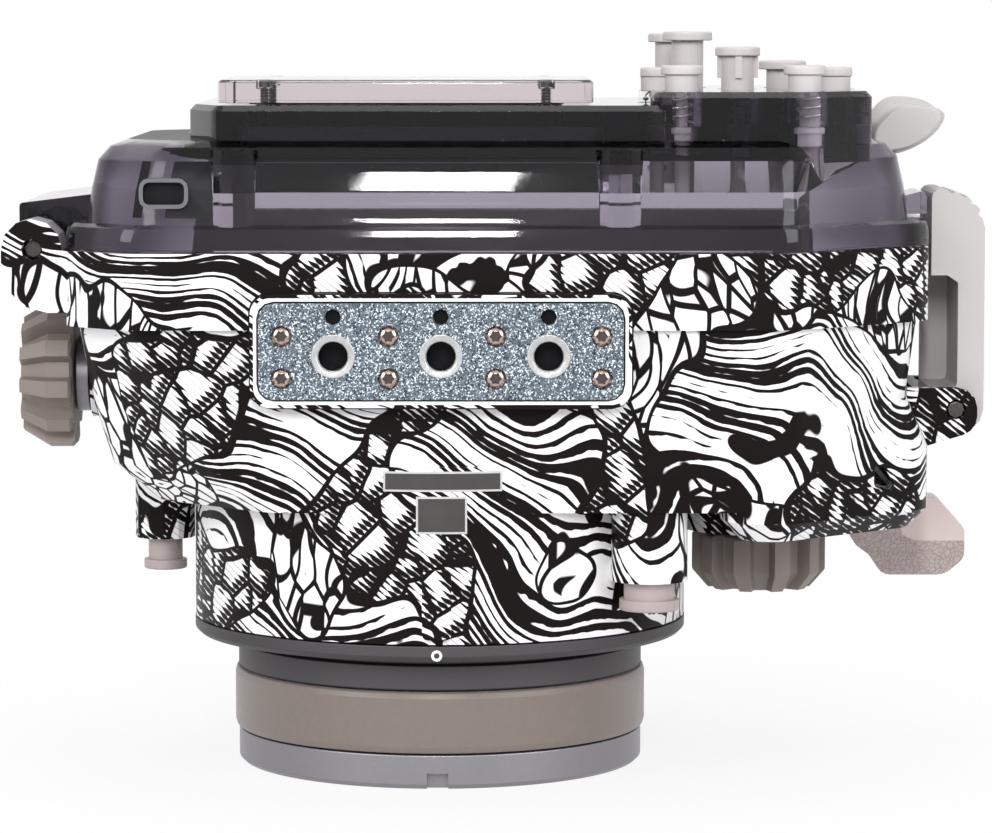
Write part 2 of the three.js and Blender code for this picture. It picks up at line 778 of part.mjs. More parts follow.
function traySolid() {
  const { left, right, back, face, low, top, radius } = tray;
  const stopTop = low + trayStop.thickness;
  const middle = (left + right) / 2;
  const half = traySlot.width / 2;
  const slotEdge = box(middle - half, middle + half, traySlot.low, traySlot.top, traySlot.radius);
  return joined([
    slab(rounded(box(left, right, low, top, radius)), back, face),
    slab(rounded(box(left, right, low, stopTop, trayStop.radius)), face - gap, face + trayStop.height),
  ]).subtract(slab(rounded(slotEdge), back - overrun, face + overrun));
}

function hingePinSolid() {
  const from = hingeLugs[0].from + hinge.pinRecess;
  const to = hingeLugs[1].to - hinge.pinRecess;
  return alongY(hinge.pinRadius, hinge, from, to);
}

const latchPinSolid = () => alongY(latchEar.pinRadius, latch, latchPinStart(), latchPinEnd());

function zoomGlandSolid() {
  const face = zoomX.boss - gap;
  return joined([
    alongX(zoomGland.radius, zoom, zoomX.inner + gap, face),
    alongX(zoomGland.spigot, zoom, face - gap, zoomX.glandEnd),
  ]).subtract(alongX(zoom.shaft + gap, zoom, zoomX.inner, zoomX.gearEnd));
}

// One of the two blocks raised on the door, its near corners cut back
function blockSolid({ left, right, near, far, top }, back) {
  const r = blockRadius;
  const full = [
    { x: left + back.leftNear, y: near, r },
    { x: right - back.right, y: near, r },
    { x: right, y: near + back.right, r },
    { x: right, y: far, r },
    { x: left, y: far, r },
    { x: left, y: near + back.leftSide, r },
  ];
  return solid(
    skin([
      { z: doorBayLevels.at(-1).z + gap, outline: rounded(full, 2) },
      { z: top - edge, outline: rounded(full, 2) },
      { z: top, outline: rounded(inset(full, edge), 2) },
    ]),
  );
}

function windowRect(width, depth, radius) {
  const { x, y } = windowPlate;
  return rounded(box(x - width / 2, x + width / 2, y - depth / 2, y + depth / 2, radius));
}

function screenWellSolid() {
  const { left, near, far } = screenBlock;
  const { wall, top } = screenWell;
  const right = buttonBlock.left - wall - pocket.radius;
  const inner = left + screenBlockCut.leftNear + wall;
  const outline = rounded(box(inner, right, near + wall, far - wall, blockRadius));
  return solid(prism(outline, doorBayLevels.at(-1).z - overrun, top));
}

function doorArmSolid() {
  const from = hingeLugs[0].to + gap;
  const to = hingeLugs[1].from - gap;
  const { rise, drop, end, reach, fillet } = doorArm;
  const outline = [
    { x: hinge.x, y: doorBottom, r: gap },
    { x: reach, y: doorBottom, r: gap },
    { x: reach, y: hinge.z + rise, r: gap },
    { x: hinge.x - end, y: hinge.z + rise - drop, r: fillet },
    { x: hinge.x - end, y: hinge.z, r: gap },
  ];
  return joined([alongY(hinge.radius, hinge, from, to), slab(rounded(outline, 2), from, to)]);
}

// Outline of the pocket on the door's shoulder, and of the rim that stands round it
function shoulderPocketSlab(grow, from, to) {
  const { x, z, width, height, radius } = shoulderPocket;
  const half = { x: width / 2 + grow, z: height / 2 + grow };
  return slab(rounded(box(x - half.x, x + half.x, z - half.z, z + half.z, radius + grow)), from, to);
}

function buttonBores() {
  return Object.values(rearButtons).flatMap(({ x, y }) => [
    upright(pocket.radius, x, y, pocket.floor, buttonBlock.top + gap),
    upright(gland.radius + gap, x, y, gland.bottom - gap, pocket.floor + gap),
    upright(button.shaft + runningGap, x, y, doorBayLevels[0].z, gland.bottom),
  ]);
}

function doorSolid() {
  const outside = joined([
    shellSkin(doorFlangeLevels),
    shellSkin(domeLevels),
    blockSolid(screenBlock, screenBlockCut),
    blockSolid(buttonBlock, buttonBlockCut),
    doorArmSolid(),
    ...doorTubes.x.map((x) =>
      upright(doorTubes.radius, x, doorTubes.y, doorFlangeTop - gap, doorTubes.top),
    ),
    thumbLugSolid(),
    shoulderPocketSlab(shoulderPocket.border, shoulderPocketY.front, shoulderPocketY.back),
  ]);
  const { top } = screenBlock;
  const plateScrewHoles = screwPlaces().map(([x, y]) =>
    upright(windowScrew.radius - gap, x, y, top - windowScrew.thread, top + gap),
  );
  const opening = windowRect(windowHole.width, windowHole.depth, windowHole.radius);
  const thumbSeat = rounded(inset(shaped(thumbShares, thumb), -gap));
  return cut(outside, [
    shellSkin(doorBayLevels),
    screenWellSolid(),
    slab(thumbSeat, thumb.near - gap, thumb.far + gap),
    solid(prism(opening, screenWell.top - overrun, top + gap)),
    shoulderPocketSlab(0, shoulderPocketY.front - overrun, shoulderPocketY.floor),
    hingeBore(),
    ...plateScrewHoles,
    ...buttonBores(),
  ]);
}

// Upright on the door's shoulder that carries the thumb rest
function thumbLugSolid() {
  const { left, right, bottom, inset: end } = thumbLug;
  return slab(rounded(box(left, right, bottom, thumb.low, gap), 2), thumb.near + end, thumb.far - end);
}

function screwPlaces() {
  const { x, y } = windowPlate;
  return [-1, 1].flatMap((i) => [-1, 1].map((j) => [x + i * windowScrew.dx, y + j * windowScrew.dy]));
}

function windowPlateSolid() {
  const low = screenBlock.top + gap;
  const high = low + windowPlate.thickness;
  const { width, depth, radius } = windowPlate;
  const full = windowRect(width, depth, radius);
  const face = windowRect(width - 2 * fineEdge, depth - 2 * fineEdge, radius - fineEdge);
  const whole = solid(
    skin([
      { z: low, outline: full },
      { z: high - fineEdge, outline: full },
      { z: high, outline: face },
    ]),
  );
  return cut(
    whole,
    screwPlaces().map(([x, y]) =>
      upright(windowScrew.radius, x, y, high - windowScrew.depth, high + gap),
    ),
  );
}

function catchSolid() {
  const { left, right, near, far, top, slope } = catchBlock;
  const low = doorFlangeTop + gap;
  const outline = rounded([
    { x: left, y: low, r: gap },
    { x: right, y: low, r: gap },
    { x: right, y: top, r: slope },
    { x: left, y: top - slope, r: gap },
  ]);
  return slab(outline, near, far);
}

function thumbSolid() {
  const { near, far, left, right, low, high } = thumb;
  const ends = rounded(box(left - thumbEnd, right, near, far, thumbEnd), 4);
  const section = slab(rounded(shaped(thumbShares, thumb)), near, far);
  return section.intersect(solid(prism(ends, low - overrun, high + overrun)));
}

const stemLow = buttonBlock.top - gap;

// One push button about its own axis: cap, stem and shaft
function rearButtonSolid(name) {
  const { top, cap } = rearButtons[name];
  const capLow = top - button.capHeight;
  const body = turned([
    [0, button.tip],
    [button.shaft, button.tip],
    [button.shaft, stemLow],
    [button.stem, stemLow],
    [button.stem, capLow],
    [cap, capLow],
    [cap, top - fineEdge],
    [cap - fineEdge, top],
    [0, top],
  ]);
  if (name !== ribbedButton) return body;
  const reach = cap + buttonRib.out;
  const half = buttonRib.width / 2;
  const rib = rounded(box(-reach, reach, -half, half, gap), 1);
  return body.add(solid(prism(rib, stemLow + buttonRib.foot, capLow + gap)));
}

function glandSolid() {
  return turned([
    [button.shaft + gap, gland.bottom],
    [gland.lip, gland.bottom],
    [gland.lip, gland.lipTop],
    [gland.radius, gland.lipTop],
    [gland.radius, pocket.floor - gap],
    [button.shaft + gap, pocket.floor - gap],
    [button.shaft + gap, gland.bottom],
  ]);
}

const rearSpringLow = pocket.floor + gap;
const rearSpringSolid = () =>
  coil(spring.radius, spring.wire, stemLow - gap - rearSpringLow, spring.curls);

// Outline of a knob: ribs with flat crests and sloped flanks over flat valleys
function ribbed(radius, ribs, depth) {
  const pitch = (2 * Math.PI) / ribs;
  const [foot, crest] = Object.values(ribShares).map((share) => (share * pitch) / 2);
  const places = [
    [-foot, radius - depth],
    [-crest, radius],
    [crest, radius],
    [foot, radius - depth],
  ];
  return Array.from({ length: ribs }, (_, i) =>
    places.map(([angle, reach]) => {
      const turn = i * pitch + angle;
      return new THREE.Vector2(Math.cos(turn) * reach, Math.sin(turn) * reach);
    }),
  ).flat();
}

// Ribbed knob standing on the origin, its outer edge chamfered, with its shaft pointing down
function knobSolid({ radius, ribs, ribDepth, height, shaft }, chamfer, shaftLength) {
  const outline = (trim) => ribbed(radius - trim, ribs, ribDepth);
  const body = solid(
    skin([
      { z: 0, outline: outline(fineEdge) },
      { z: fineEdge, outline: outline(0) },
      { z: height - chamfer.along, outline: outline(0) },
      { z: height, outline: outline(chamfer.out) },
    ]),
  );
  const dish = turned([
    [0, height - knobDish.depth],
    [radius * knobDish.floorShare, height - knobDish.depth],
    [radius * knobDish.mouthShare, height + gap],
    [0, height + gap],
  ]);
  return joined([body.subtract(dish), upright(shaft, 0, 0, -shaftLength, gap)]);
}

function gearSolid(radius, teeth, depth, low, high) {
  return solid(prism(toothed(radius, teeth, depth), low, high));
}

// Grooves across the latch's crown, spread round the middle of its arc
function crownGrooves(x, z, crown) {
  const { count, first, step, depth, width } = latchRibs;
  const groove = rounded(box(crown - depth, crown + overrun, -width / 2, width / 2, gap), 1);
  const middle = new THREE.Vector2(0, 0);
  const place = new THREE.Vector2(x, z);
  return Array.from({ length: count }, (_, i) => {
    const angle = THREE.MathUtils.degToRad(first + i * step);
    const turned = groove.map((point) => point.clone().rotateAround(middle, angle).add(place));
    return slab(turned, latchSpan.near - overrun, latchSpan.far + overrun);
  });
}

function latchSolid() {
  const { left, right, bottom, top } = latch;
  const { end, crown, hook, root } = latchRounds;
  const { near, far } = latchSpan;
  const outline = [
    { x: left, y: bottom, r: end },
    { x: right, y: bottom, r: end },
    { x: right, y: top, r: crown },
    { x: left, y: top, r: hook },
  ];
  const { armLeft, slopeRun, slope, web } = latchNotch;
  const finger = [
    { x: left - overrun, y: latchNotch.bottom, r: gap },
    { x: armLeft, y: latchNotch.bottom, r: root },
    { x: armLeft, y: latchNotch.top - slope, r: gap },
    { x: armLeft - slopeRun, y: latchNotch.top, r: gap },
    { x: left - overrun, y: latchNotch.top, r: gap },
  ];
  return cut(slab(rounded(outline), near, far), [
    slab(rounded(finger, 2), near - overrun, far - web),
    ...crownGrooves(right - crown, top - crown, crown),
    latchBore(),
  ]);
}

function leverSolid() {
  const body = slab(rounded(shaped(paddleShares, paddle)), lever.near, lever.far);
  const headLow = leverArm.top + gap + leverSpring.height + gap;
  const shaft = upright(lever.shaft, lever.x, lever.y, paddle.high - edge, headLow + gap);
  const head = upright(leverHead.radius, lever.x, lever.y, headLow, headLow + leverHead.thickness);
  const tip = lever.x - leverArm.reach;
  const half = leverArm.width / 2;
  const arm = [
    { x: tip, y: lever.y - half, r: half - gap },
    { x: lever.x + half, y: lever.y - half, r: half - gap },
    { x: lever.x + half, y: lever.y + half, r: half - gap },
    { x: tip, y: lever.y + half, r: half - gap },
  ];
  return joined([body, shaft, head, solid(prism(rounded(arm), leverArm.low, leverArm.top))]);
}

function frontButtonSolid({ x, y, cap, stem, boss, rise, capHeight }) {
  const stemTop = boss + frontButton.seat;
  const capTop = boss - rise;
  return joined([
    upright(cap, x, y, capTop - capHeight, capTop),
    upright(stem, x, y, capTop - gap, stemTop),
    upright(frontButton.shaft, x, y, stemTop - gap, frontButton.tip),
  ]);
}

function powerButtonSolid() {
  const capLow = powerBossY + power.rise;
  return joined([
    alongY(power.cap, power, capLow + power.capHeight, capLow),
    alongY(power.stem, power, capLow + gap, powerBossY),
    alongY(power.shaft, power, powerBossY + gap, power.tip),
  ]);
}

// Accessory shoe: a channel for the foot under two lips, closed at its far end
function shoeSolid() {
  const { x, z, width, length, height, radius } = shoe;
  const [back, low, high] = [rim.farY + gap, z - length / 2, z + length / 2];
  const floor = back + shoeSlot.floor;
  const slot = (half, start) => box(x - half, x + half, start, high - shoeSlot.stop, gap);
  const foot = rounded(slot(shoeSlot.width / 2, low - overrun), 1);
  const mouth = rounded(slot(shoeSlot.width / 2 - shoeSlot.lip, low - overrun), 1);
  return cut(slab(rounded(box(x - width / 2, x + width / 2, low, high, radius)), back, back + height), [
    slab(foot, floor, back + height - shoeSlot.roof),
    slab(mouth, floor, back + height + overrun),
  ]);
}

function modeCupSolid() {
  const { radius, wall, top, low } = modeCup;
  const hollow = alongY(radius - wall, mode, low - overrun, top - wall);
  return alongY(radius, mode, low, top).subtract(hollow);
}

function mesh(name, body, material, place = at(0, 0, 0)) {
  const made = new THREE.Mesh(geometryOf(body), material);
  made.name = name;
  made.position.copy(place);
  return made;
}

// A group whose own +Z points the given way
function aimed(place, towards, ...children) {
  const group = new THREE.Group();
  group.position.copy(place);
  group.quaternion.setFromUnitVectors(at(0, 0, 1), towards);
  return group.add(...children);
}

function port() {
  const group = new THREE.Group();
  group.position.set(portX, portY, 0);
  return group.add(
    mesh("port_front_ring", frontRingSolid(), finishes.ringMetal),
    mesh("port_barrel", barrelSolid(), finishes.darkMetal),
    mesh("port_grip_band", bandSolid(), finishes.band),
    mesh("port_glass", glassSolid(), finishes.clear),
    mesh("port_glass_seal", glassSealSolid(), finishes.seal),
    mesh("port_flange", flangeSolid(), finishes.darkMetal),
  );
}

function frontHalf() {
  const group = new THREE.Group();
  return group.add(
    mesh("front_shell", frontShell(), finishes.shell),
    mesh("main_seal", mainSealSolid(), finishes.seal),
    mesh("tripod_plate", tripodPlateSolid(), finishes.plateMetal),
    mesh("camera_tray", traySolid(), finishes.darkMetal),
    mesh("hinge_pin", hingePinSolid(), finishes.steel),
    mesh("latch_pin", latchPinSolid(), finishes.steel),
    mesh("zoom_gland", zoomGlandSolid(), finishes.darkMetal),
    mesh("accessory_shoe", shoeSolid(), finishes.darkMetal),
  );
}

function door() {
  const group = new THREE.Group();
  return group.add(
    mesh("rear_door", doorSolid(), finishes.door),
    mesh("screen_window", windowPlateSolid(), finishes.clear),
    mesh("latch_catch", catchSolid(), finishes.door),
    mesh("thumb_rest", thumbSolid(), finishes.latch),
    ...Object.keys(rearButtons).map(rearButtonGroup),
  );
}

function rearButtonGroup(name) {
  const { x, y } = rearButtons[name];
  const group = new THREE.Group();
  group.position.set(x, y, 0);
  return group.add(
    mesh(`button_${name}`, rearButtonSolid(name), finishes.button),
    mesh(`gland_${name}`, glandSolid(), finishes.bush),
    mesh(`spring_${name}`, rearSpringSolid(), finishes.steel, at(0, 0, rearSpringLow)),
  );
}

function zoomControl() {
  const knob = knobSolid(zoom, zoomChamfer, zoomX.gearStart - zoomX.inner - gap);
  const low = zoomX.inner - zoomX.gearEnd;
  const high = zoomX.inner - zoomX.gearStart;
  const gear = gearSolid(zoomGear.radius, zoomGear.teeth, zoomGear.depth, low, high);
  return aimed(
    at(zoomX.inner, zoom.y, zoom.z),
    at(-1, 0, 0),
    mesh("zoom_knob", knob, finishes.knob),
    mesh("zoom_gear", gear, finishes.button),
  );
}

function frontDial() {
  const knob = knobSolid(dial, dialChamfer, dialZ.wheelLow - dialInnerZ - gap);
  const near = dialInnerZ - dialZ.wheelLow;
  const far = dialInnerZ - dialZ.wheelTop;
  const wheel = upright(dialWheelRadius, 0, 0, far, near);
  return aimed(
    at(dial.x, dial.y, dialInnerZ),
    at(0, 0, -1),
    mesh("front_dial_knob", knob, finishes.knob),
    mesh("front_dial_wheel", wheel, finishes.seal),
  );
}

function modeDial() {
  const knob = knobSolid(mode, modeChamfer, modeInnerY - modeCup.top - gap);
  return [
    aimed(at(mode.x, modeInnerY, mode.z), at(0, 1, 0), mesh("mode_dial_knob", knob, finishes.knob)),
    mesh("mode_dial_cup", modeCupSolid(), finishes.seal),
  ];
}

function shutter() {
  const { radius, wire, height, curls } = leverSpring;
  const place = at(lever.x, lever.y, leverArm.top + gap);
  return [
    mesh("shutter_lever", leverSolid(), finishes.knob),
    mesh("shutter_spring", coil(radius, wire, height, curls), finishes.steel, place),
  ];
}

// Springs of the two front buttons stand in the bosses, behind the stems
function frontButtons() {
  return [release, leftButton].flatMap((one, i) => {
    const name = ["lens_release", "flash_release"][i];
    const low = one.boss + frontButton.seat + gap;
    const height = one.boss + frontButton.pocketDepth - gap - low;
    const wound = coil(frontButton.springRadius, spring.wire, height, frontButton.curls);
    return [
      mesh(`${name}_button`, frontButtonSolid(one), finishes.knob),
      mesh(`${name}_spring`, wound, finishes.steel, at(one.x, one.y, low)),
    ];
  });
}

const housing = new THREE.Group();
housing.name = "underwater_camera_housing";
housing.add(
  port(),
  frontHalf(),
  door(),
  zoomControl(),
  frontDial(),
  ...modeDial(),
  ...shutter(),
  ...frontButtons(),
  mesh("latch_lever", latchSolid(), finishes.latch),
  mesh("power_button", powerButtonSolid(), finishes.button),
);

console.log(`Least gap between the turns of a spring: ${Math.min(...springGaps).toFixed(2)} mm`);

export default housing;
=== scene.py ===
"""Finishes, screws, print and studio for an underwater camera housing, laid out as an add-on."""

import json
import math

import bmesh
import bpy
from mathutils import Matrix, Vector
from mathutils.bvhtree import BVHTree


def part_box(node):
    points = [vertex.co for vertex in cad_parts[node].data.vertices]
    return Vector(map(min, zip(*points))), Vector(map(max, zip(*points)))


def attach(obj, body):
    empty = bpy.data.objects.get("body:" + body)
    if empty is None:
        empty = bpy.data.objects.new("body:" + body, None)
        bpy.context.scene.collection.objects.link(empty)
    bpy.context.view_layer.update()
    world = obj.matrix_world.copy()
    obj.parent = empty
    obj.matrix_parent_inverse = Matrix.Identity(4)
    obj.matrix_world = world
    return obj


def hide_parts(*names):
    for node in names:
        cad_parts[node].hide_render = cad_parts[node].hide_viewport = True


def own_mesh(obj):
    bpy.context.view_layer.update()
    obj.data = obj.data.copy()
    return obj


bl_info = {
    "name": "Underwater camera housing",
    "version": (1, 0, 0),
    "blender": (4, 5, 0),
    "location": "View3D > Sidebar > Housing",
    "description": "Dresses the packed parts of a diver's camera housing and lights them",
    "category": "Object",
}

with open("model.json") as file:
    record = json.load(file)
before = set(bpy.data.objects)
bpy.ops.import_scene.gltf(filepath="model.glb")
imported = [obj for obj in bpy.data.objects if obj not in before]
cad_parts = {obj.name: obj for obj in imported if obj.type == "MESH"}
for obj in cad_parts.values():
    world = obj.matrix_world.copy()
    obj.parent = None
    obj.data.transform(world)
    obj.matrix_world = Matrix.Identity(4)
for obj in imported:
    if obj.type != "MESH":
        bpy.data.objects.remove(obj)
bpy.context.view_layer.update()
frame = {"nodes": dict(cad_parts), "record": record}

MM = 0.001
FULL_TURN = 2 * math.pi
ORIGIN = Vector((0, 0, 0))

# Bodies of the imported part
FRONT = "front_half"
DOOR = "door"

# Photograph: its width and focal length in pixels, and where the camera stood
PHOTO_WIDTH = 992
PHOTO_FOCAL = 4345
SENSOR = 36.0
CAMERA_PLACE = Vector((-0.95, -787.0, 134.5)) * MM
CAMERA_PITCH = math.radians(5.33)


class Value:
    """A number in a material. Python sums on it add Math nodes."""

    def __init__(self, paint, socket):
        self.paint = paint
        self.socket = socket

    def math(self, operation, *terms):
        return self.paint.value("ShaderNodeMath", {"operation": operation}, dict(enumerate(terms)))

    def __add__(self, other):
        return self.math("ADD", self, other)

    def __radd__(self, other):
        return self.math("ADD", other, self)

    def __sub__(self, other):
        return self.math("SUBTRACT", self, other)

    def __rsub__(self, other):
        return self.math("SUBTRACT", other, self)

    def __mul__(self, other):
        return self.math("MULTIPLY", self, other)

    def __rmul__(self, other):
        return self.math("MULTIPLY", other, self)

    def __truediv__(self, other):
        return self.math("DIVIDE", self, other)

    def __abs__(self):
        return self.math("ABSOLUTE", self)

    def root(self):
        return self.math("POWER", self, 0.5)

    def sine(self):
        return self.math("SINE", self)

    def wave(self):
        """A sine wave between 0 and 1."""
        return self.sine() * 0.5 + 0.5

    def either(self, other):
        return self.math("MAXIMUM", self, other)


class Nodes:
    """The nodes of a material or of the surroundings."""

    def __init__(self, owner):
        owner.use_nodes = True
        self.tree = owner.node_tree

    def node(self, kind, settings=None, inputs=None):
        """A node of this type with its settings, and with values or links for its sockets."""
        made = self.tree.nodes.new(kind)
        for title, setting in (settings or {}).items():
            setattr(made, title, setting)
        for title, given in (inputs or {}).items():
            self.feed(made.inputs[title], given)
        return made

    def feed(self, socket, given):
        if isinstance(given, Value):
            given = given.socket
        if isinstance(given, bpy.types.NodeSocket):
            self.tree.links.new(given, socket)
        elif isinstance(given, tuple) and len(given) < len(socket.default_value):
            socket.default_value = (*given, 1)
        else:
            socket.default_value = given

    def value(self, kind, settings=None, inputs=None, output=0):
        return Value(self, self.node(kind, settings, inputs).outputs[output])

    def blend(self, share, first, second, output):
        """Shows two shaders in shares on the surface."""
        inputs = {0: share, 1: first.outputs[0], 2: second.outputs[0]}
        mixed = self.node("ShaderNodeMixShader", inputs=inputs)
        self.feed(self.tree.nodes[output].inputs["Surface"], mixed.outputs[0])


class Paint(Nodes):
    """A node material under construction, round its Principled shader."""

    def __init__(self, name, colour=(0.5, 0.5, 0.5), **constants):
        self.material = bpy.data.materials.new(name)
        super().__init__(self.material)
        self.shader = self.tree.nodes["Principled BSDF"]
        self.colour(colour)
        for title, number in constants.items():
            socket = title.replace("_", " ").title().replace("Ior", "IOR")
            self.shader.inputs[socket].default_value = number

    def place(self):
        """Object coordinates in millimetres."""
        source = self.node("ShaderNodeTexCoord").outputs["Object"]
        return self.vector("SCALE", source, Scale=1 / MM)

    def vector(self, operation, first, second=None, **inputs):
        given = {0: first, **inputs}
        if second is not None:
            given[1] = second
        return self.node("ShaderNodeVectorMath", {"operation": operation}, given).outputs[0]

    def axes(self, place):
        split = self.node("ShaderNodeSeparateXYZ", inputs={0: place})
        return [Value(self, socket) for socket in split.outputs]

    def noise(self, place, size, detail=2.0, roughness=0.5, shift=None):
        """Smooth noise from 0 to 1 whose features are about this many millimetres."""
        if shift:
            place = self.vector("ADD", place, shift)
        inputs = {"Vector": place, "Scale": 1 / size, "Detail": detail, "Roughness": roughness}
        return self.value("ShaderNodeTexNoise", inputs=inputs, output="Fac")

    def warped(self, place, size, reach, detail=2.0):
        """A place that noise moves by up to this many millimetres."""
        noise = self.noise(place, size, detail).socket
        return self.vector("ADD", place, self.vector("SCALE", noise, Scale=reach))

    def cells(self, place, size, feature="DISTANCE_TO_EDGE", output="Distance"):
        inputs = {"Vector": place, "Scale": 1 / size}
        return self.value("ShaderNodeTexVoronoi", {"feature": feature}, inputs, output)

    def ramp(self, value, low, high, to_low=0.0, to_high=1.0):
        """A smooth step of a value between two levels."""
        settings = {"interpolation_type": "SMOOTHSTEP"}
        levels = {"From Min": low, "From Max": high, "To Min": to_low, "To Max": to_high}
        return self.value("ShaderNodeMapRange", settings, {"Value": value, **levels})

    def fall(self, value, low, high):
        """A smooth step down from 1 to 0 between two levels."""
        return self.ramp(value, low, high, 1.0, 0.0)

    def mix(self, share, first, second):
        """A blend of two colours."""
        inputs = {"Factor": share, 6: first, 7: second}
        return self.node("ShaderNodeMix", {"data_type": "RGBA"}, inputs).outputs[2]

    def colour(self, given):
        self.feed(self.shader.inputs["Base Color"], given)
        return self

    def roughness(self, given):
        self.feed(self.shader.inputs["Roughness"], given)
        return self

    def bump(self, height, depth, strength=1.0):
        """Relief of this many millimetres."""
        inputs = {"Height": height, "Distance": depth * MM, "Strength": strength}
        made = self.node("ShaderNodeBump", inputs=inputs)
        self.feed(self.shader.inputs["Normal"], made.outputs["Normal"])
        return self

    def absorb(self, tint, density):
        """Thickness darkens the clear material."""
        inputs = {"Color": tint, "Density": density}
        inside = self.node("ShaderNodeVolumeAbsorption", inputs=inputs)
        self.feed(self.tree.nodes["Material Output"].inputs["Volume"], inside.outputs[0])
        return self


_made = {}


def finish(build):
    """Keeps one material for each finish, made when a piece first asks for it."""

    def once():
        if build.__name__ not in _made:
            _made[build.__name__] = build().material
        return _made[build.__name__]

    return once


def sizes():
    return bpy.context.scene.housing_sizes


def colours():
    return bpy.context.scene.housing_colours


def shaded(tint, share):
    """A lighter or darker tone of a colour."""
    return tuple(min(1.0, part * share) for part in tint)


# Swell of the print: two drifts bend it and the cutter wanders, in millimetres; then slope and tone
SWELL_BROAD = 40.0
SWELL_BEND = 50.0
SWELL_NARROW = 20.0
SWELL_NUDGE = 12.0
SWELL_NARROW_SHIFT = (71.0, 13.0, 37.0)
CUTTER_SIZE = 2.6
CUTTER_SHIFT = (5.0, 91.0, 8.0)
CUTTER_SWAY = 1.8
SWELL_UP = 0.9
SWELL_ACROSS = 0.42
SWELL_LINES = 5.5
SWELL_TONE = 0.43
SWELL_EDGE = 0.05


def swell_print(paint, place, across, up):
    """Long swell in woodcut lines that thicken into black."""
    period = sizes().swell_period / MM
    broad = paint.noise(place, SWELL_BROAD, 1.0)
    drift = paint.noise(place, SWELL_NARROW, 1.0, shift=SWELL_NARROW_SHIFT)
    cutter = paint.noise(place, CUTTER_SIZE, 1.0, shift=CUTTER_SHIFT)
    slope = up * SWELL_UP + across * SWELL_ACROSS
    swell = (slope + broad * SWELL_BEND + drift * SWELL_NUDGE) / period
    crest = (swell * FULL_TURN).sine()
    tone = crest * 0.5 + (drift - 0.5) * 2.0 + SWELL_TONE + (cutter - 0.5) * 0.5
    lines = (swell * (FULL_TURN * SWELL_LINES) + cutter * CUTTER_SWAY).wave()
    return paint.ramp(tone - lines, -SWELL_EDGE, SWELL_EDGE)


# Shingle of the print: how stones warp, where light falls from, and their hatching, in millimetres
STONE_WARP = 6
STONE_WARP_REACH = 3.0
STONE_LIGHT = (0.7, 0.0, -1.0)
STONE_SHADE = (0.02, 0.27)
STONE_PACKING = (0.055, 0.08)
HATCH_WOBBLE = 1.8
HATCH_SWAY = 2.4
HATCH_ACROSS = 0.62
HATCH_UP = 0.8
HATCH_EDGE = 0.12


def shingle_print(paint, place, across, up):
    """Rounded stones with hatched shadows, packed in black."""
    stone = sizes().pebble_size / MM
    spot = paint.warped(place, STONE_WARP, STONE_WARP_REACH)
    joint = paint.cells(spot, stone)
    lit = paint.cells(paint.vector("ADD", spot, STONE_LIGHT), stone)
    shade = paint.fall(lit, *STONE_SHADE)
    wobble = paint.noise(place, HATCH_WOBBLE, 1.0)
    run = across * (FULL_TURN * HATCH_ACROSS) + up * (FULL_TURN * HATCH_UP)
    hatch = (run + wobble * HATCH_SWAY).wave()
    shadow = paint.ramp(shade - hatch, -HATCH_EDGE, HATCH_EDGE)
    return paint.fall(joint, *STONE_PACKING).either(shadow)


# Grass of the print: how blades bend, their width in millimetres, their stretch and their cuts
GRASS_BEND = 22
GRASS_BEND_REACH = 20.0
GRASS_WIDTH = 3.4
GRASS_STRETCH = (1.0, 1.0, 0.26)
GRASS_BLADE = (0.07, 0.1)
GRASS_CUT = (0.38, 0.42)


def grass_print(paint, place):
    """Bent blades of grass with a cut down the middle, on black."""
    bent = paint.warped(place, GRASS_BEND, GRASS_BEND_REACH, 1.0)
    edge = paint.cells(paint.vector("MULTIPLY", bent, GRASS_STRETCH), GRASS_WIDTH)
    return 1.0 - paint.ramp(edge, *GRASS_BLADE) * paint.fall(edge, *GRASS_CUT)


# Raised frame of the tripod plate in millimetres: border, corner, foot, width of the painted
# highlight on its edge, half the painted shadow line round it
FRAME_BORDER = 1.6
FRAME_CORNER = 3.6
FRAME_FOOT = -46.6
FRAME_HIGHLIGHT_WIDTH = 0.8
FRAME_SHADOW_HALF = 0.16
FRAME_SOFT = 0.1
SHADOW_LINE_SOFT = 0.08


def past_frame(across, up):
    """Distance in millimetres past the outer edge of the raised frame of the tripod plate."""
    low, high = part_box("tripod_plate")
    centre = (low + high) / 2 / MM
    half = (high - low) / 2 / MM
    grown = FRAME_BORDER - FRAME_CORNER
    sideways = (abs(across - centre.x) - (half.x + grown)).either(0.0)
    upward = (abs(up - centre.z) - (half.z + grown)).either(0.0)
    return (sideways * sideways + upward * upward).root() - FRAME_CORNER


def with_painted_frame_light(paint, dark_share, axes):
    """Paints a highlight on the edge of the raised frame, leaving the print off it, and a shadow
    line round the frame.
    """
    across, depth, up = axes
    before = paint.fall(depth, FRAME_FOOT, FRAME_FOOT + FRAME_SOFT)
    past = past_frame(across, up)
    # Painted highlight: the frame's edge is left white of print.
    painted_highlight = paint.fall(past, -FRAME_HIGHLIGHT_WIDTH, FRAME_SOFT - FRAME_HIGHLIGHT_WIDTH) * before
    # Painted shadow line round the frame, in black.
    painted_shadow_line = paint.fall(abs(past), FRAME_SHADOW_HALF, FRAME_SHADOW_HALF + SHADOW_LINE_SOFT) * before
    return (dark_share * (1.0 - painted_highlight)).either(painted_shadow_line)


# Fields of the print: their sizes in millimetres, the levels at which they begin, and their banks
SHORE_SIZE = 30
SHORE_SHIFT = (19.0, 47.0, 63.0)
SHORE = 0.53
MEADOW_SIZE = 27
MEADOW_SHIFT = (83.0, 29.0, 11.0)
MEADOW = 0.54
FIELD_DETAIL = 1.5
FIELD_EDGE = 0.002
BANK = (0.006, 0.008)


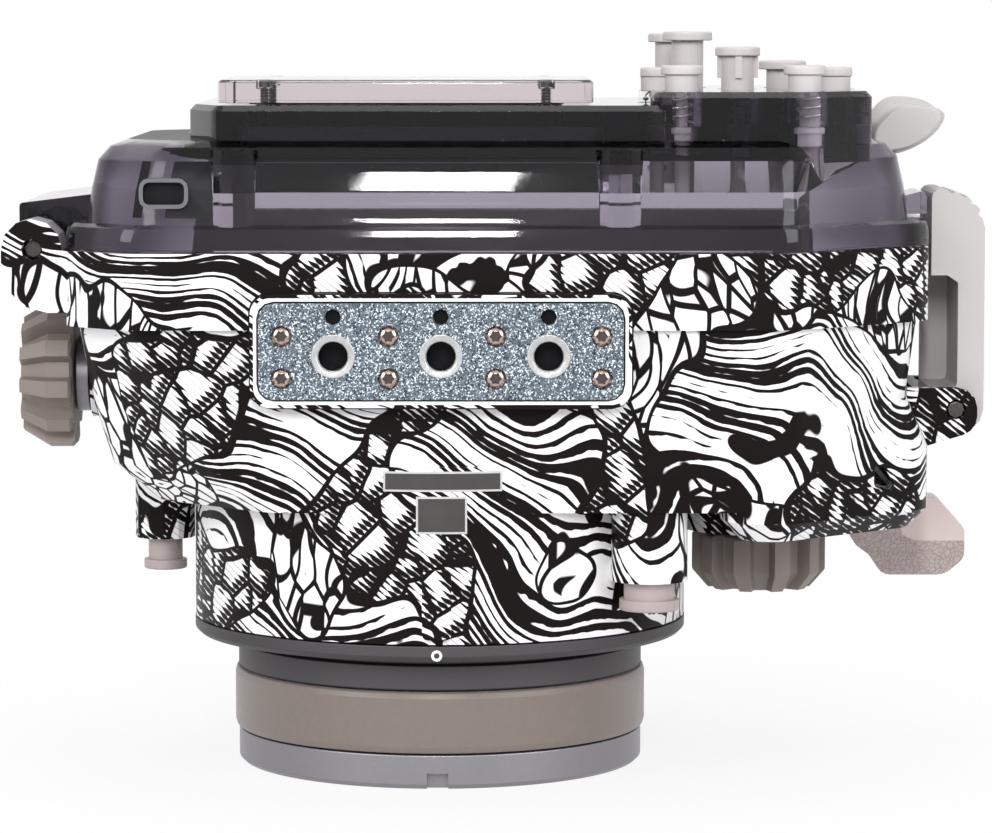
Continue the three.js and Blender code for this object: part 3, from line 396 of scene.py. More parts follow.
@finish
def printed_shell():
    """White moulding with a woodcut print of swell, shingle and grass in black, and a painted
    highlight and shadow line round the tripod plate's frame.
    """
    paint = Paint("printed_shell", specular_ior_level=0.06)
    place = paint.place()
    axes = paint.axes(place)
    across, _, up = axes
    shore = paint.noise(place, SHORE_SIZE, FIELD_DETAIL, shift=SHORE_SHIFT)
    meadow = paint.noise(place, MEADOW_SIZE, FIELD_DETAIL, shift=MEADOW_SHIFT)
    on_shore = paint.ramp(shore, SHORE, SHORE + FIELD_EDGE)
    off_shore = 1.0 - on_shore
    on_meadow = paint.ramp(meadow, MEADOW, MEADOW + FIELD_EDGE) * off_shore
    water = swell_print(paint, place, across, up) * off_shore * (1.0 - on_meadow)
    stones = shingle_print(paint, place, across, up) * on_shore
    grass = grass_print(paint, place) * on_meadow
    banks = paint.fall(abs(shore - SHORE), *BANK)
    hedges = paint.fall(abs(meadow - MEADOW), *BANK) * off_shore
    # The print with the frame's painted highlight and painted shadow line.
    dark_share = with_painted_frame_light(paint, (water + stones + grass).either(banks).either(hedges), axes)
    paint.colour(paint.mix(dark_share, tuple(colours().paint_white), tuple(colours().ink_black)))
    paint.roughness(paint.noise(place, 9) * 0.1 + dark_share * 0.05 + 0.24)
    return paint.bump(paint.noise(place, 1.6, 3.0), 0.02, 0.3)


def clouded(name, dark, light, cloud, wear, swing, gloss, detail=2.0, relief=None, **constants):
    """A finish whose colour and gloss drift. Their sizes and its relief's are in millimetres."""
    paint = Paint(name, **constants)
    place = paint.place()
    paint.colour(paint.mix(paint.noise(place, cloud, detail), dark, light))
    paint.roughness(paint.noise(place, wear, detail) * swing + gloss)
    if relief:
        size, fineness, depth, strength = relief
        paint.bump(paint.noise(place, size, fineness), depth, strength)
    return paint


@finish
def shell_inside():
    """Grey moulding inside the front shell, with a fine spark texture."""
    tones = (0.26, 0.25, 0.27), (0.32, 0.31, 0.33)
    look = {"cloud": 12, "wear": 3, "swing": 0.2, "gloss": 0.42, "relief": (0.5, 4.0, 0.03, 0.5)}
    return clouded("shell_inside", *tones, **look, roughness=0.5)


@finish
def smoke_door():
    """Clear smoke moulding."""
    tint = tuple(colours().smoke_tint)
    look = {"cloud": 30, "wear": 16, "swing": 0.03, "gloss": 0.015, "relief": (22, 1.0, 0.25, 0.25)}
    clear = {"transmission_weight": 1.0, "ior": 1.36, "specular_ior_level": 0.2}
    paint = clouded("smoke_door", tint, shaded(tint, 1.06), **look, **clear)
    return paint.absorb((0.34, 0.29, 0.38), sizes().smoke_density)


@finish
def black_mask_and_shade():
    """Black mask on the walls of the screen well, and black as painted shade in the door's pocket
    and behind the tripod plate.
    """
    tones = (0.006, 0.006, 0.008), (0.012, 0.011, 0.014)
    look = {"cloud": 8, "wear": 5, "swing": 0.15, "gloss": 0.3, "relief": (2.0, 1.0, 0.01, 0.1)}
    return clouded("black_mask_and_shade", *tones, **look, specular_ior_level=0.12)


@finish
def satin_end():
    """Satin grey inside both ends of the door."""
    tones = (0.42, 0.4, 0.45), (0.6, 0.58, 0.64)
    look = {"cloud": 16, "wear": 5, "swing": 0.15, "gloss": 0.45}
    return clouded("satin_end", *tones, **look, specular_ior_level=0.2)


@finish
def clear_plate():
    """Clear window over the screen."""
    tones = (0.95, 0.92, 0.93), (0.98, 0.96, 0.97)
    look = {"cloud": 25, "wear": 20, "swing": 0.04, "gloss": 0.03, "relief": (30, 1.0, 0.05, 0.15)}
    paint = clouded("clear_plate", *tones, **look, transmission_weight=1.0, ior=1.49)
    return paint.absorb((0.72, 0.65, 0.68), 30.0)


@finish
def port_glass():
    """Coated glass of the port."""
    tones = (0.9, 0.97, 0.95), (0.93, 0.95, 0.99)
    look = {"cloud": 30, "wear": 20, "swing": 0.01, "gloss": 0.004}
    return clouded("port_glass", *tones, **look, transmission_weight=1.0, ior=1.52)


def moulded(name, tint, gloss, grain=0.45, depth=0.03):
    """Moulded plastic with a faint cloud in its colour and a spark texture."""
    look = {"cloud": 14, "wear": 2.5, "swing": 0.16, "gloss": gloss - 0.08, "detail": 3.0}
    relief = (grain, 3.0, depth, 0.6)
    return clouded(name, shaded(tint, 0.9), tint, **look, relief=relief, roughness=gloss)


@finish
def button_plastic():
    return moulded("button_plastic", tuple(colours().button_grey), 0.42)


@finish
def warm_plastic():
    return moulded("warm_plastic", (0.4, 0.335, 0.325), 0.4)


# Lighter grey painted on the door pocket's rim for the light on its edges.
@finish
def pocket_rim_painted_light():
    return moulded("pocket_rim_painted_light", (0.13, 0.125, 0.14), 0.3)


@finish
def knob_plastic():
    return moulded("knob_plastic", tuple(colours().knob_taupe), 0.46, 0.5, 0.045)


@finish
def latch_plastic():
    return moulded("latch_plastic", tuple(colours().latch_grey), 0.4)


@finish
def white_bush():
    return moulded("white_bush", (0.82, 0.81, 0.79), 0.35)


@finish
def black_rubber():
    return moulded("black_rubber", (0.018, 0.018, 0.019), 0.6, 0.8)


@finish
def band_rubber():
    """Taupe rubber sleeve, satin, with a fine dusty grain."""
    paint = Paint("band_rubber", specular_ior_level=0.4, sheen_weight=0.15)
    place = paint.place()
    tint = tuple(colours().band_taupe)
    dust = paint.ramp(paint.noise(place, 1.1, detail=5.0, roughness=0.7), 0.35, 0.75)
    base = paint.mix(paint.noise(place, 18), shaded(tint, 0.92), tint)
    paint.colour(paint.mix(dust * 0.25, base, shaded(tint, 1.25)))
    paint.roughness(dust * 0.12 + 0.36)
    return paint.bump(paint.noise(place, 0.35, 3.0), 0.02, 0.5)


# Rings of the lathe: how many to a millimetre, and the size and reach of their wander
LATHE_RINGS = 3.2
LATHE_WANDER = 3.0


def turned_metal(name, tint, gloss, metal=1.0):
    """Anodised metal with the fine rings of the lathe."""
    paint = Paint(name, metallic=metal, roughness=gloss)
    place = paint.place()
    _, _, up = paint.axes(place)
    wander = paint.noise(place, LATHE_WANDER) * LATHE_WANDER
    rings = (up * (FULL_TURN * LATHE_RINGS) + wander).wave()
    speck = paint.noise(place, 0.45, detail=4.0, roughness=0.65)
    paint.colour(paint.mix(speck, shaded(tint, 0.82), tint))
    paint.roughness(speck * 0.18 + rings * 0.03 + (gloss - 0.1))
    return paint.bump(speck + rings * 0.15, 0.02, 0.5)


@finish
def collar_metal():
    return turned_metal("collar_metal", (0.085, 0.08, 0.084), 0.5, 0.85)


@finish
def ring_metal():
    return turned_metal("ring_metal", (0.27, 0.258, 0.28), 0.42, 0.9)


def steel(name, dark, light, grain, swing, gloss, metal=1.0):
    """Drawn steel whose grain shows in its colour and its gloss."""
    look = {"cloud": grain, "wear": grain, "swing": swing, "gloss": gloss, "detail": 3.0}
    return clouded(name, dark, light, **look, metallic=metal)


@finish
def bright_steel():
    return steel("bright_steel", (0.5, 0.5, 0.51), (0.68, 0.68, 0.68), 0.8, 0.15, 0.18)


@finish
def screw_steel():
    """Stainless screws with a warm passivated tinge."""
    return steel("screw_steel", (0.42, 0.29, 0.24), (0.62, 0.47, 0.4), 0.6, 0.12, 0.16)


# Dark steel of the dark screws and pins, also painted inside the screws' drives as shade.
@finish
def dark_steel_and_drive_shade():
    return steel("dark_steel_and_drive_shade", (0.05, 0.045, 0.045), (0.11, 0.1, 0.1), 0.6, 0.15, 0.25, 0.9)


@finish
def blasted_plate():
    """Blue grey blasted metal, with glints painted on single facets and some facets darker."""
    paint = Paint("blasted_plate", metallic=0.55)
    facet = paint.cells(paint.place(), sizes().glitter_size / MM, "F1", "Color")
    _, bright, other = paint.axes(facet)
    # Painted glints: single facets get a bright colour.
    spark = paint.ramp(bright, 0.62, 0.88)
    # Some facets are darker.
    dark_facet = paint.ramp(other, 0.6, 0.95)
    base = paint.mix(spark, tuple(colours().plate_blue), (0.7, 0.77, 0.82))
    paint.colour(paint.mix(dark_facet * 0.95, base, (0.008, 0.012, 0.018)))
    paint.roughness(other * 0.3 + 0.32)
    return paint.bump(bright, 0.05, 0.7)


# Shutter lever in millimetres: its smooth pad's lowest level, left end, cut corner and edge,
# and how its grain is warped
PAD_LEVEL = 36.2
PAD_LEFT = 74.6
PAD_CORNER = 1.2
PAD_CORNER_SLOPE = -0.45
PAD_EDGE = 0.15
CRACKLE_WARP = 1.2


@finish
def crackled_plastic():
    """Taupe plastic with a crackled leather grain below a smooth pad."""
    paint = Paint("crackled_plastic")
    place = paint.place()
    across, _, up = paint.axes(place)
    corner = abs(across - PAD_LEFT) * PAD_CORNER_SLOPE + PAD_CORNER
    level = up - corner.either(0.0) - PAD_LEVEL
    beside = paint.ramp(across, PAD_LEFT - PAD_EDGE, PAD_LEFT + PAD_EDGE)
    smooth = paint.ramp(level, -PAD_EDGE, PAD_EDGE) * beside
    spot = paint.warped(place, CRACKLE_WARP, CRACKLE_WARP, 3.0)
    vein = paint.cells(spot, sizes().crackle_size / MM)
    flat = paint.ramp(vein, 0.0, 0.12).either(smooth)
    tint = tuple(colours().lever_taupe)
    grain = paint.mix(flat, shaded(tint, 0.78), tint)
    paint.colour(paint.mix(smooth, grain, shaded(tint, 1.42)))
    paint.roughness(flat * 0.12 + 0.34)
    return paint.bump(flat, 0.12, 0.7)


@finish
def label_face():
    tones = (0.04, 0.035, 0.035), (0.06, 0.055, 0.055)
    look = {"cloud": 4, "wear": 2, "swing": 0.1, "gloss": 0.35}
    return clouded("label_face", *tones, **look, metallic=0.3)


@finish
def label_rim():
    tones = (0.5, 0.5, 0.5), (0.62, 0.62, 0.62)
    look = {"cloud": 3, "wear": 2, "swing": 0.1, "gloss": 0.35}
    return clouded("label_rim", *tones, **look, metallic=0.7)


@finish
def white_mark():
    tones = (0.78, 0.78, 0.77), (0.86, 0.86, 0.85)
    look = {"cloud": 0.5, "wear": 1, "swing": 0.1, "gloss": 0.4}
    return clouded("white_mark", *tones, **look)


# Meshes: distances in millimetres within which points are one, and angles in degrees
COPY_WELD = 0.004
COIL_WELD = 0.001
SPIN_WELD = 0.0005
FLAT_ANGLE = 0.8
SHARP_ANGLE = 32.0
EASE_ANGLE = 24.0
EASE_SEGMENTS = 2
CORNER_STEPS = 4


def placed(name, data):
    """A new object in the scene that holds this data."""
    thing = bpy.data.objects.new(name, data)
    bpy.context.scene.collection.objects.link(thing)
    return thing


def mesh_of(name, shape):
    """A mesh with the faces of a bmesh, which is freed."""
    mesh = bpy.data.meshes.new(name)
    shape.to_mesh(mesh)
    shape.free()
    return mesh


def even_out(piece):
    """Shades large faces flat and their eased edges smooth."""
    piece.modifiers.new("even_faces", "WEIGHTED_NORMAL").keep_sharp = True


def new_piece(name, shape, body, material, replaces=(), sharp=SHARP_ANGLE):
    """Turns a bmesh into a piece that rides on a body, smooth but for its sharp edges."""
    bmesh.ops.recalc_face_normals(shape, faces=shape.faces)
    limit = math.radians(sharp)
    for face in shape.faces:
        face.smooth = True
    for edge in shape.edges:
        edge.smooth = edge.calc_face_angle(0.0) < limit
    piece = placed(name, mesh_of(name, shape))
    for given in material if isinstance(material, list) else [material]:
        piece.data.materials.append(given)
    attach(piece, body)
    if replaces:
        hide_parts(*replaces)
    even_out(piece)
    return piece


def welded(node, weld):
    """A copy of a CAD node's mesh with its loose triangles joined."""
    shape = bmesh.new()
    shape.from_mesh(frame["nodes"][node].data)
    bmesh.ops.remove_doubles(shape, verts=shape.verts, dist=weld * MM)
    return shape


def copied(node):
    """A CAD node's mesh in whole faces."""
    shape = welded(node, COPY_WELD)
    limit = math.radians(FLAT_ANGLE)
    parts = {"verts": shape.verts, "edges": shape.edges}
    bmesh.ops.dissolve_limit(shape, angle_limit=limit, delimit=set(), **parts)
    return shape


def eased(shape, width, angle=EASE_ANGLE):
    """Rounds the edges that turn by more than this angle."""
    limit = math.radians(angle)
    sides = [edge for edge in shape.edges if len(edge.link_faces) == 2]
    bmesh.ops.bevel(
        shape,
        geom=[edge for edge in sides if edge.calc_face_angle(0.0) > limit],
        offset=width * MM,
        offset_type="OFFSET",
        segments=EASE_SEGMENTS,
        profile=0.5,
        affect="EDGES",
        clamp_overlap=True,
        material=-1,
    )
    return shape


def arc_corner(before, corner, after, radius):
    """Points of a round corner of a profile."""
    into = (corner - before).normalized()
    out = (after - corner).normalized()
    turn = into.angle_signed(out, 0.0)
    reach = radius * math.tan(abs(turn) / 2)
    start = corner - into * reach
    end = corner + out * reach
    points = []
    for step in range(CORNER_STEPS + 1):
        share = step / CORNER_STEPS
        points.append(start.lerp(corner, share).lerp(corner.lerp(end, share), share))
    return points


def rounded(corners):
    """A closed profile from corners of a place and a radius, in millimetres."""
    places = [Vector(corner[:2]) for corner in corners]
    points = []
    for i, corner in enumerate(corners):
        radius = corner[2] if len(corner) > 2 else 0
        if radius:
            after = places[(i + 1) % len(places)]
            points += arc_corner(places[i - 1], places[i], after, radius)
        else:
            points.append(places[i])
    return points


def swept(shape, geom, centre, angle, steps, merge):
    """Turns a profile about an upright axis."""
    turn = {"cent": centre, "axis": (0, 0, 1), "dvec": (0, 0, 0), "angle": angle}
    bmesh.ops.spin(shape, geom=geom, steps=steps, use_merge=merge, **turn)


def revolved(points, centre, steps, closed):
    """A full turn of a profile of radius and height, in millimetres."""
    shape = bmesh.new()
    verts = [shape.verts.new((centre.x + p.x * MM, centre.y, p.y * MM)) for p in points]
    pairs = zip([verts[-1], *verts], verts) if closed else zip(verts, verts[1:])
    edges = [shape.edges.new(pair) for pair in pairs]
    swept(shape, verts + edges, centre, FULL_TURN, steps, True)
    bmesh.ops.remove_doubles(shape, verts=shape.verts, dist=SPIN_WELD * MM)
    return shape


def spun(profile, centre, steps):
    """A ring of a closed profile."""
    return revolved(rounded(profile), centre, steps, True)


def post(profile, centre, steps):
    """A solid of revolution whose profile starts and ends on the axis."""
    ends = (0, profile[0][1]), (0, profile[-1][1])
    return revolved(rounded([ends[0], *profile, ends[1]]), centre, steps, False)


def turned_to(shape, centre, axis):
    """Turns a shape that was made upright on the origin, and moves it to a place."""
    turn = Vector((0, 0, 1)).rotation_difference(Vector(axis)).to_matrix().to_4x4()
    bmesh.ops.transform(shape, matrix=Matrix.Translation(centre) @ turn, verts=shape.verts)


def middle(node):
    low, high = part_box(node)
    return (low + high) / 2


def upright(centre):
    """The foot of an upright axis through a place."""
    return Vector((centre.x, centre.y, 0))


def pushed(shape, face, way):
    """Pushes a face out into a solid, and gives the points of its far end."""
    grown = bmesh.ops.extrude_face_region(shape, geom=[face])["geom"]
    moved = [item for item in grown if isinstance(item, bmesh.types.BMVert)]
    bmesh.ops.translate(shape, vec=way, verts=moved)
    return moved


def slab(corners, low, high, upwards=False):
    """An outline thickened between two levels, upwards or else backwards, in millimetres."""

    def laid(across, along, level):
        spot = (across, along, level) if upwards else (across, level, along)
        return Vector(spot) * MM

    shape = bmesh.new()
    face = shape.faces.new([shape.verts.new(laid(p.x, p.y, low)) for p in rounded(corners)])
    pushed(shape, face, laid(0, 0, high - low))
    return shape


def rectangle(left, right, low, high):
    return [(left, low), (right, low), (right, high), (left, high)]


def cut_away(piece, shape):
    """Cuts a shape out of a piece, and keeps what is left as its mesh."""
    bmesh.ops.recalc_face_normals(shape, faces=shape.faces)
    tool = placed("tool", mesh_of("tool", shape))
    cutter = piece.modifiers.new("cut", "BOOLEAN")
    cutter.operation = "DIFFERENCE"
    cutter.solver = "EXACT"
    cutter.object = tool
    piece.modifiers.move(piece.modifiers.find("cut"), 0)
    bpy.context.view_layer.update()
    graph = bpy.context.evaluated_depsgraph_get()
    mesh = bpy.data.meshes.new_from_object(piece.evaluated_get(graph))
    piece.modifiers.clear()
    piece.data = mesh
    even_out(piece)
    bpy.data.objects.remove(tool)


def length_setting(name, description, millimetres):
    return bpy.props.FloatProperty(
        name=name, description=description, default=millimetres * MM, unit="LENGTH"
    )


def colour_setting(name, description, value):
    return bpy.props.FloatVectorProperty(
        name=name, description=description, default=value, subtype="COLOR", min=0, max=1
    )


class HousingSizes(bpy.types.PropertyGroup):
    """Sizes of the finishes that a user would change."""

    swell_period: length_setting("Swell", "Height of one swell of the shell's print", 11)
    pebble_size: length_setting("Pebbles", "Width of a pebble of the shell's print", 5.8)
    glitter_size: length_setting("Glitter", "Width of a facet of the blasted plate", 0.24)
    crackle_size: length_setting("Crackle", "Width of a flake of the lever's grain", 0.85)
    smoke_density: bpy.props.FloatProperty(
        name="Smoke",
        description="How strongly the door's thickness darkens what lies behind it",
        default=130.0,
    )


class HousingColours(bpy.types.PropertyGroup):
    """Colours of the housing's materials."""

    # White is also the painted highlight on the tripod plate's frame, and ink the painted shadow
    # line round it.
    paint_white: colour_setting("White", "Ground of the shell's print", (0.86, 0.85, 0.85))
    ink_black: colour_setting("Ink", "Ink of the shell's print", (0.008, 0.006, 0.006))
    smoke_tint: colour_setting("Smoke", "Tint of the rear door's faces", (0.86, 0.84, 0.88))
    button_grey: colour_setting("Buttons", "Push buttons", (0.58, 0.54, 0.53))
    knob_taupe: colour_setting("Knobs", "Dials and knobs", (0.228, 0.188, 0.168))
    latch_grey: colour_setting("Latch", "Side latch and thumb rest", (0.52, 0.485, 0.48))
    band_taupe: colour_setting("Band", "Rubber band of the port", (0.19, 0.155, 0.135))
    lever_taupe: colour_setting("Lever", "Shutter lever", (0.44, 0.365, 0.345))
    plate_blue: colour_setting("Plate", "Tripod plate", (0.105, 0.135, 0.162))


# Lamps: place and size in metres, and watts
LAMPS = {
    "left_softbox": ((-0.95, -0.9, 0.6), (0.7, 0.7), 9.0),
    "right_softbox": ((1.0, -0.85, 0.55), (0.7, 0.7), 8.0),
    "top_softbox": ((0.0, 0.25, 1.3), (0.9, 0.9), 6.0),
    "front_strip": ((-0.025, -1.2, 0.58), (0.07, 0.4), 6.4),
}
LAMP_AIM = Vector((0, 0, 60 * MM))


class HOUSING_OT_studio(bpy.types.Operator):
    """Floor, lamps, white surroundings and the photograph's camera"""

    bl_idname = "housing.studio"
    bl_label = "Studio"

    def execute(self, context):
        make_floor()
        for name, (place, size, watts) in LAMPS.items():
            add_lamp(name, Vector(place), size, watts)
        light_world()
        add_camera(context)
        context.scene.view_settings.view_transform = "Standard"
        return {"FINISHED"}


# Floor: half its side in metres, and how far and how strongly the object shades it, in millimetres
FLOOR_HALF = 4.0
FLOOR_SQUARES = 8
SHADOW_REACH = 180.0
SHADOW_SHARE = 0.16
SEEN_RAYS = ("Is Camera Ray", "Is Glossy Ray", "Is Transmission Ray")
WORLD_TINT = (0.92, 0.94, 1.0)
WORLD_STRENGTH = 0.4
WHITE = (1.0, 1.0, 1.0)


def seen_directly(nodes):
    """One for rays from the camera, from gloss and through glass."""
    path = nodes.node("ShaderNodeLightPath")
    camera, gloss, glass = (Value(nodes, path.outputs[name]) for name in SEEN_RAYS)
    return camera.either(gloss).either(glass)


def make_floor():
    shape = bmesh.new()
    squares = {"x_segments": FLOOR_SQUARES, "y_segments": FLOOR_SQUARES}
    bmesh.ops.create_grid(shape, size=FLOOR_HALF, **squares)
    floor = placed("floor", mesh_of("floor", shape))
    paint = Paint("floor_white", (0.8, 0.8, 0.8), roughness=0.9, specular_ior_level=0.1)
    measured = {"operation": "LENGTH"}
    far = paint.value("ShaderNodeVectorMath", measured, {0: paint.place()}, output=1)
    share = paint.ramp(far, 0.0, SHADOW_REACH, 1 - SHADOW_SHARE, 1.0)
    glow = paint.node("ShaderNodeEmission", inputs={"Color": WHITE, "Strength": 1.0})
    paint.blend(seen_directly(paint) * share, paint.shader, glow, "Material Output")
    floor.data.materials.append(paint.material)


def add_lamp(name, place, size, watts):
    lamp = bpy.data.lights.new(name, "AREA")
    lamp.shape = "RECTANGLE"
    lamp.size, lamp.size_y = size
    lamp.energy = watts
    holder = placed(name, lamp)
    holder.location = place
    holder.rotation_euler = (LAMP_AIM - place).to_track_quat("-Z", "Y").to_euler()


def light_world():
    world = bpy.data.worlds.new("surroundings")
    bpy.context.scene.world = world
    nodes = Nodes(world)
    ground = nodes.tree.nodes["Background"]
    nodes.feed(ground.inputs["Color"], WORLD_TINT)
    nodes.feed(ground.inputs["Strength"], WORLD_STRENGTH)
    seen = nodes.node("ShaderNodeBackground", inputs={"Color": WHITE})
    nodes.blend(seen_directly(nodes), ground, seen, "World Output")


def add_camera(context):
    data = bpy.data.cameras.new("photo_camera")
    data.sensor_width = SENSOR
    data.lens = PHOTO_FOCAL * SENSOR / PHOTO_WIDTH
    camera = placed("photo_camera", data)
    camera.location = CAMERA_PLACE
    camera.rotation_euler = (math.pi / 2 - CAMERA_PITCH, 0, 0)
    context.scene.camera = camera


# Points inside the shells from which their inner faces are seen, in millimetres
SHELL_POINTS = (
    (0, -2, 78),
    (-42, -2, 76),
    (-42, -30, 76),
    (40, -2, 76),
    (40, -25, 76),
    (40, 20, 76),
    (-42, 20, 76),
    (-11, -6, 45),
)
DOOR_POINTS = (
    (-50, -3, 98),
    (50, -3, 98),
    (-50, -30, 98),
    (50, 25, 98),
    (-50, 25, 98),
    (40, -30, 98),
)
SIGHT_LIFT = 0.05

# Edges of both shells and of the catch in millimetres, and the angle that eases the shells'
SHELL_EDGE = 0.45
DOOR_EDGE = 0.35
CATCH_EDGE = 0.3
SHELL_ANGLE = 26


def within(low, spot, high):
    """Whether a place is inside a box."""
    return all(least < part < most for least, part, most in zip(low, spot, high))


def sees_inside(face, tree, points):
    """Whether a face of a shell is seen from one of the points inside it."""
    start = face.calc_center_median() + face.normal * SIGHT_LIFT * MM
    for point in points:
        way = Vector(point) * MM - start
        if way.dot(face.normal) > 0 and tree.ray_cast(start, way, way.length)[0] is None:
            return True
    return False


# Room behind the tripod plate, painted black as the shade seen down its holes: how far it reaches
# beside, before and behind, in millimetres
ROOM_BESIDE = 1
ROOM_BEFORE = 0.1
ROOM_BEHIND = 5.5


class HOUSING_OT_front_shell(bpy.types.Operator):
    """Printed front shell, grey inside, and painted black as shade behind the tripod plate"""

    bl_idname = "housing.front_shell"
    bl_label = "Front shell"

    def execute(self, context):
        shape = eased(copied("front_shell"), SHELL_EDGE, SHELL_ANGLE)
        tree = BVHTree.FromBMesh(shape)
        low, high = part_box("tripod_plate")
        beside = Vector((ROOM_BESIDE, 0, ROOM_BESIDE)) * MM
        back = Vector((high.x, high.y + ROOM_BEHIND * MM, high.z)) + beside
        front = Vector((low.x, high.y - ROOM_BEFORE * MM, low.z)) - beside
        for face in shape.faces:
            # Faces behind the tripod plate are painted black as the shade seen down its holes.
            behind = all(within(front, vert.co, back) for vert in face.verts)
            face.material_index = 2 if behind else int(sees_inside(face, tree, SHELL_POINTS))
        materials = [printed_shell(), shell_inside(), black_mask_and_shade()]
        new_piece("shell_moulding", shape, FRONT, materials, ["front_shell"])
        return {"FINISHED"}


# Corners of the screen well and of the pocket on the door's shoulder, in millimetres
WELL_LOW = (-50, -38.3, 108)
WELL_HIGH = (18.6, 26.3, 118.3)
POCKET_LOW = (-61.9, -48.1, 100.9)
POCKET_HIGH = (-53.1, -44.0, 106.3)
POCKET_RIM = -47.5
MASK_LEFT = -51
MASK_RIGHT = 54


class HOUSING_OT_rear_door(bpy.types.Operator):
    """Smoke door with its screen well and both ends masked inside, painted shade in its pocket
    under a rim painted lighter for the light on it, and the latch's catch
    """

    bl_idname = "housing.rear_door"
    bl_label = "Rear door"

    def execute(self, context):
        shape = eased(copied("rear_door"), DOOR_EDGE, SHELL_ANGLE)
        tree = BVHTree.FromBMesh(shape)
        for face in shape.faces:
            spot = face.calc_center_median() / MM
            in_well = within(WELL_LOW, spot, WELL_HIGH)
            at_end = not MASK_LEFT < spot.x < MASK_RIGHT and sees_inside(face, tree, DOOR_POINTS)
            in_pocket = within(POCKET_LOW, spot, POCKET_HIGH)
            # In the pocket the rim is painted lighter grey for the light on its edges, and the
            # deeper faces black as painted shade.
            if in_pocket and spot.y < POCKET_RIM:
                face.material_index = 2
            elif at_end and not in_well:
                face.material_index = 3
            else:
                face.material_index = int(in_well or in_pocket)
        materials = [smoke_door(), black_mask_and_shade(), pocket_rim_painted_light(), satin_end()]
        new_piece("door_moulding", shape, DOOR, materials, ["rear_door"])
        catch = eased(copied("latch_catch"), CATCH_EDGE)
        new_piece("catch_moulding", catch, DOOR, smoke_door(), ["latch_catch"])
        return {"FINISHED"}


# Screws in millimetres: radius and height of the head, radius and length of the thread, its turns
WINDOW_SCREW = {"head": 1.35, "height": 1.3, "thread": 0.65, "length": 5.6, "turns": 8}
PLATE_SCREW = {"head": 1.75, "height": 0.95, "thread": 0.9, "length": 1.0, "turns": 0}
THREAD_PITCH = 0.5
THREAD_CREST = ((0.2, 0), (0.5, 0.2), (0.8, 0))
SCREW_STEPS = 24
HEAD_SIDE_SHARE = 0.45
HEAD_DOME_SHARE = 0.3
HEAD_TOP_SHARE = 0.55
HEAD_TOP_ROUNDING = 0.15

# Six lobed drive: its share of the head, its lobes, its depth, its taper, and the edge left bright
# above the shade painted inside it
DRIVE_SHARE = 0.52
LOBES = 6
LOBE_SHARE = 0.18
DEPTH_SHARE = 0.7
TAPER_SHARE = 0.85
DRIVE_OVER = 0.02
UNSHADED_DRIVE_EDGE = 0.03


def screw_shape(size):
    """A round headed screw, its head's top at the origin."""
    head, height, thread, length = (size[part] for part in ("head", "height", "thread", "length"))
    profile = [(thread, -length)]
    for turn in range(size["turns"]):
        low = -length + turn * THREAD_PITCH
        profile += [(thread + proud, low + THREAD_PITCH * share) for share, proud in THREAD_CREST]
    profile += [(thread, -height), (head, -height)]
    profile += [(head, -height * HEAD_SIDE_SHARE, height * HEAD_DOME_SHARE)]
    profile += [(head * HEAD_TOP_SHARE, 0, HEAD_TOP_ROUNDING)]
    return post(profile, ORIGIN, SCREW_STEPS)


def drive_shape(size):
    """What a six lobed drive takes out of a screw's head."""
    shape = bmesh.new()
    rim = []
    for i in range(SCREW_STEPS):
        angle = FULL_TURN * i / SCREW_STEPS
        reach = size["head"] * DRIVE_SHARE * (1 + LOBE_SHARE * math.cos(LOBES * angle)) * MM
        spot = (math.cos(angle) * reach, math.sin(angle) * reach, DRIVE_OVER * MM)
        rim.append(shape.verts.new(spot))
    face = shape.faces.new(rim)
    foot = pushed(shape, face, (0, 0, -size["height"] * DEPTH_SHARE * MM))
    bmesh.ops.scale(shape, vec=(TAPER_SHARE, TAPER_SHARE, 1), verts=foot)
    return shape


def add_screw(name, place, size, body, material, axis=(0, 0, 1)):
    """A screw whose drive is cut into its head, seated with its head's top at a place. The inside
    of the drive is painted dark as shade.
    """
    shape = screw_shape(size)
    drive = drive_shape(size)
    at = Vector(place) * MM
    for item in (shape, drive):
        turned_to(item, at, axis)
    piece = new_piece(name, shape, body, material)
    cut_away(piece, drive)
    # Faces inside the drive, below its edge, are painted dark as shade in the recess.
    piece.data.materials.append(dark_steel_and_drive_shade())
    for face in piece.data.polygons:
        inward = at - face.center
        depth = inward.dot(Vector(axis))
        beside = (inward - Vector(axis) * depth).length / MM < size["head"] * DRIVE_SHARE
        face.material_index = int(beside and UNSHADED_DRIVE_EDGE < depth / MM < size["height"])


# Window: its edge and where its screws stand, in millimetres
WINDOW_EDGE = 0.15
WINDOW_SCREW_PLACES = [(across, along) for along in (-21, 21) for across in (-24.4, 24.4)]


class HOUSING_OT_window(bpy.types.Operator):
    """Clear window plate over the screen, with its four screws"""

    bl_idname = "housing.window"
    bl_label = "Screen window"

    def execute(self, context):
        shape = eased(copied("screen_window"), WINDOW_EDGE)
        new_piece("window_plate", shape, DOOR, clear_plate(), ["screen_window"])
        low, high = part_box("screen_window")
        centre = (low + high) / 2
        for i, (across, along) in enumerate(WINDOW_SCREW_PLACES):
            place = (centre.x / MM + across, centre.y / MM + along, high.z / MM)
            add_screw(f"window_screw_{i + 1}", place, WINDOW_SCREW, DOOR, dark_steel_and_drive_shade())
        return {"FINISHED"}


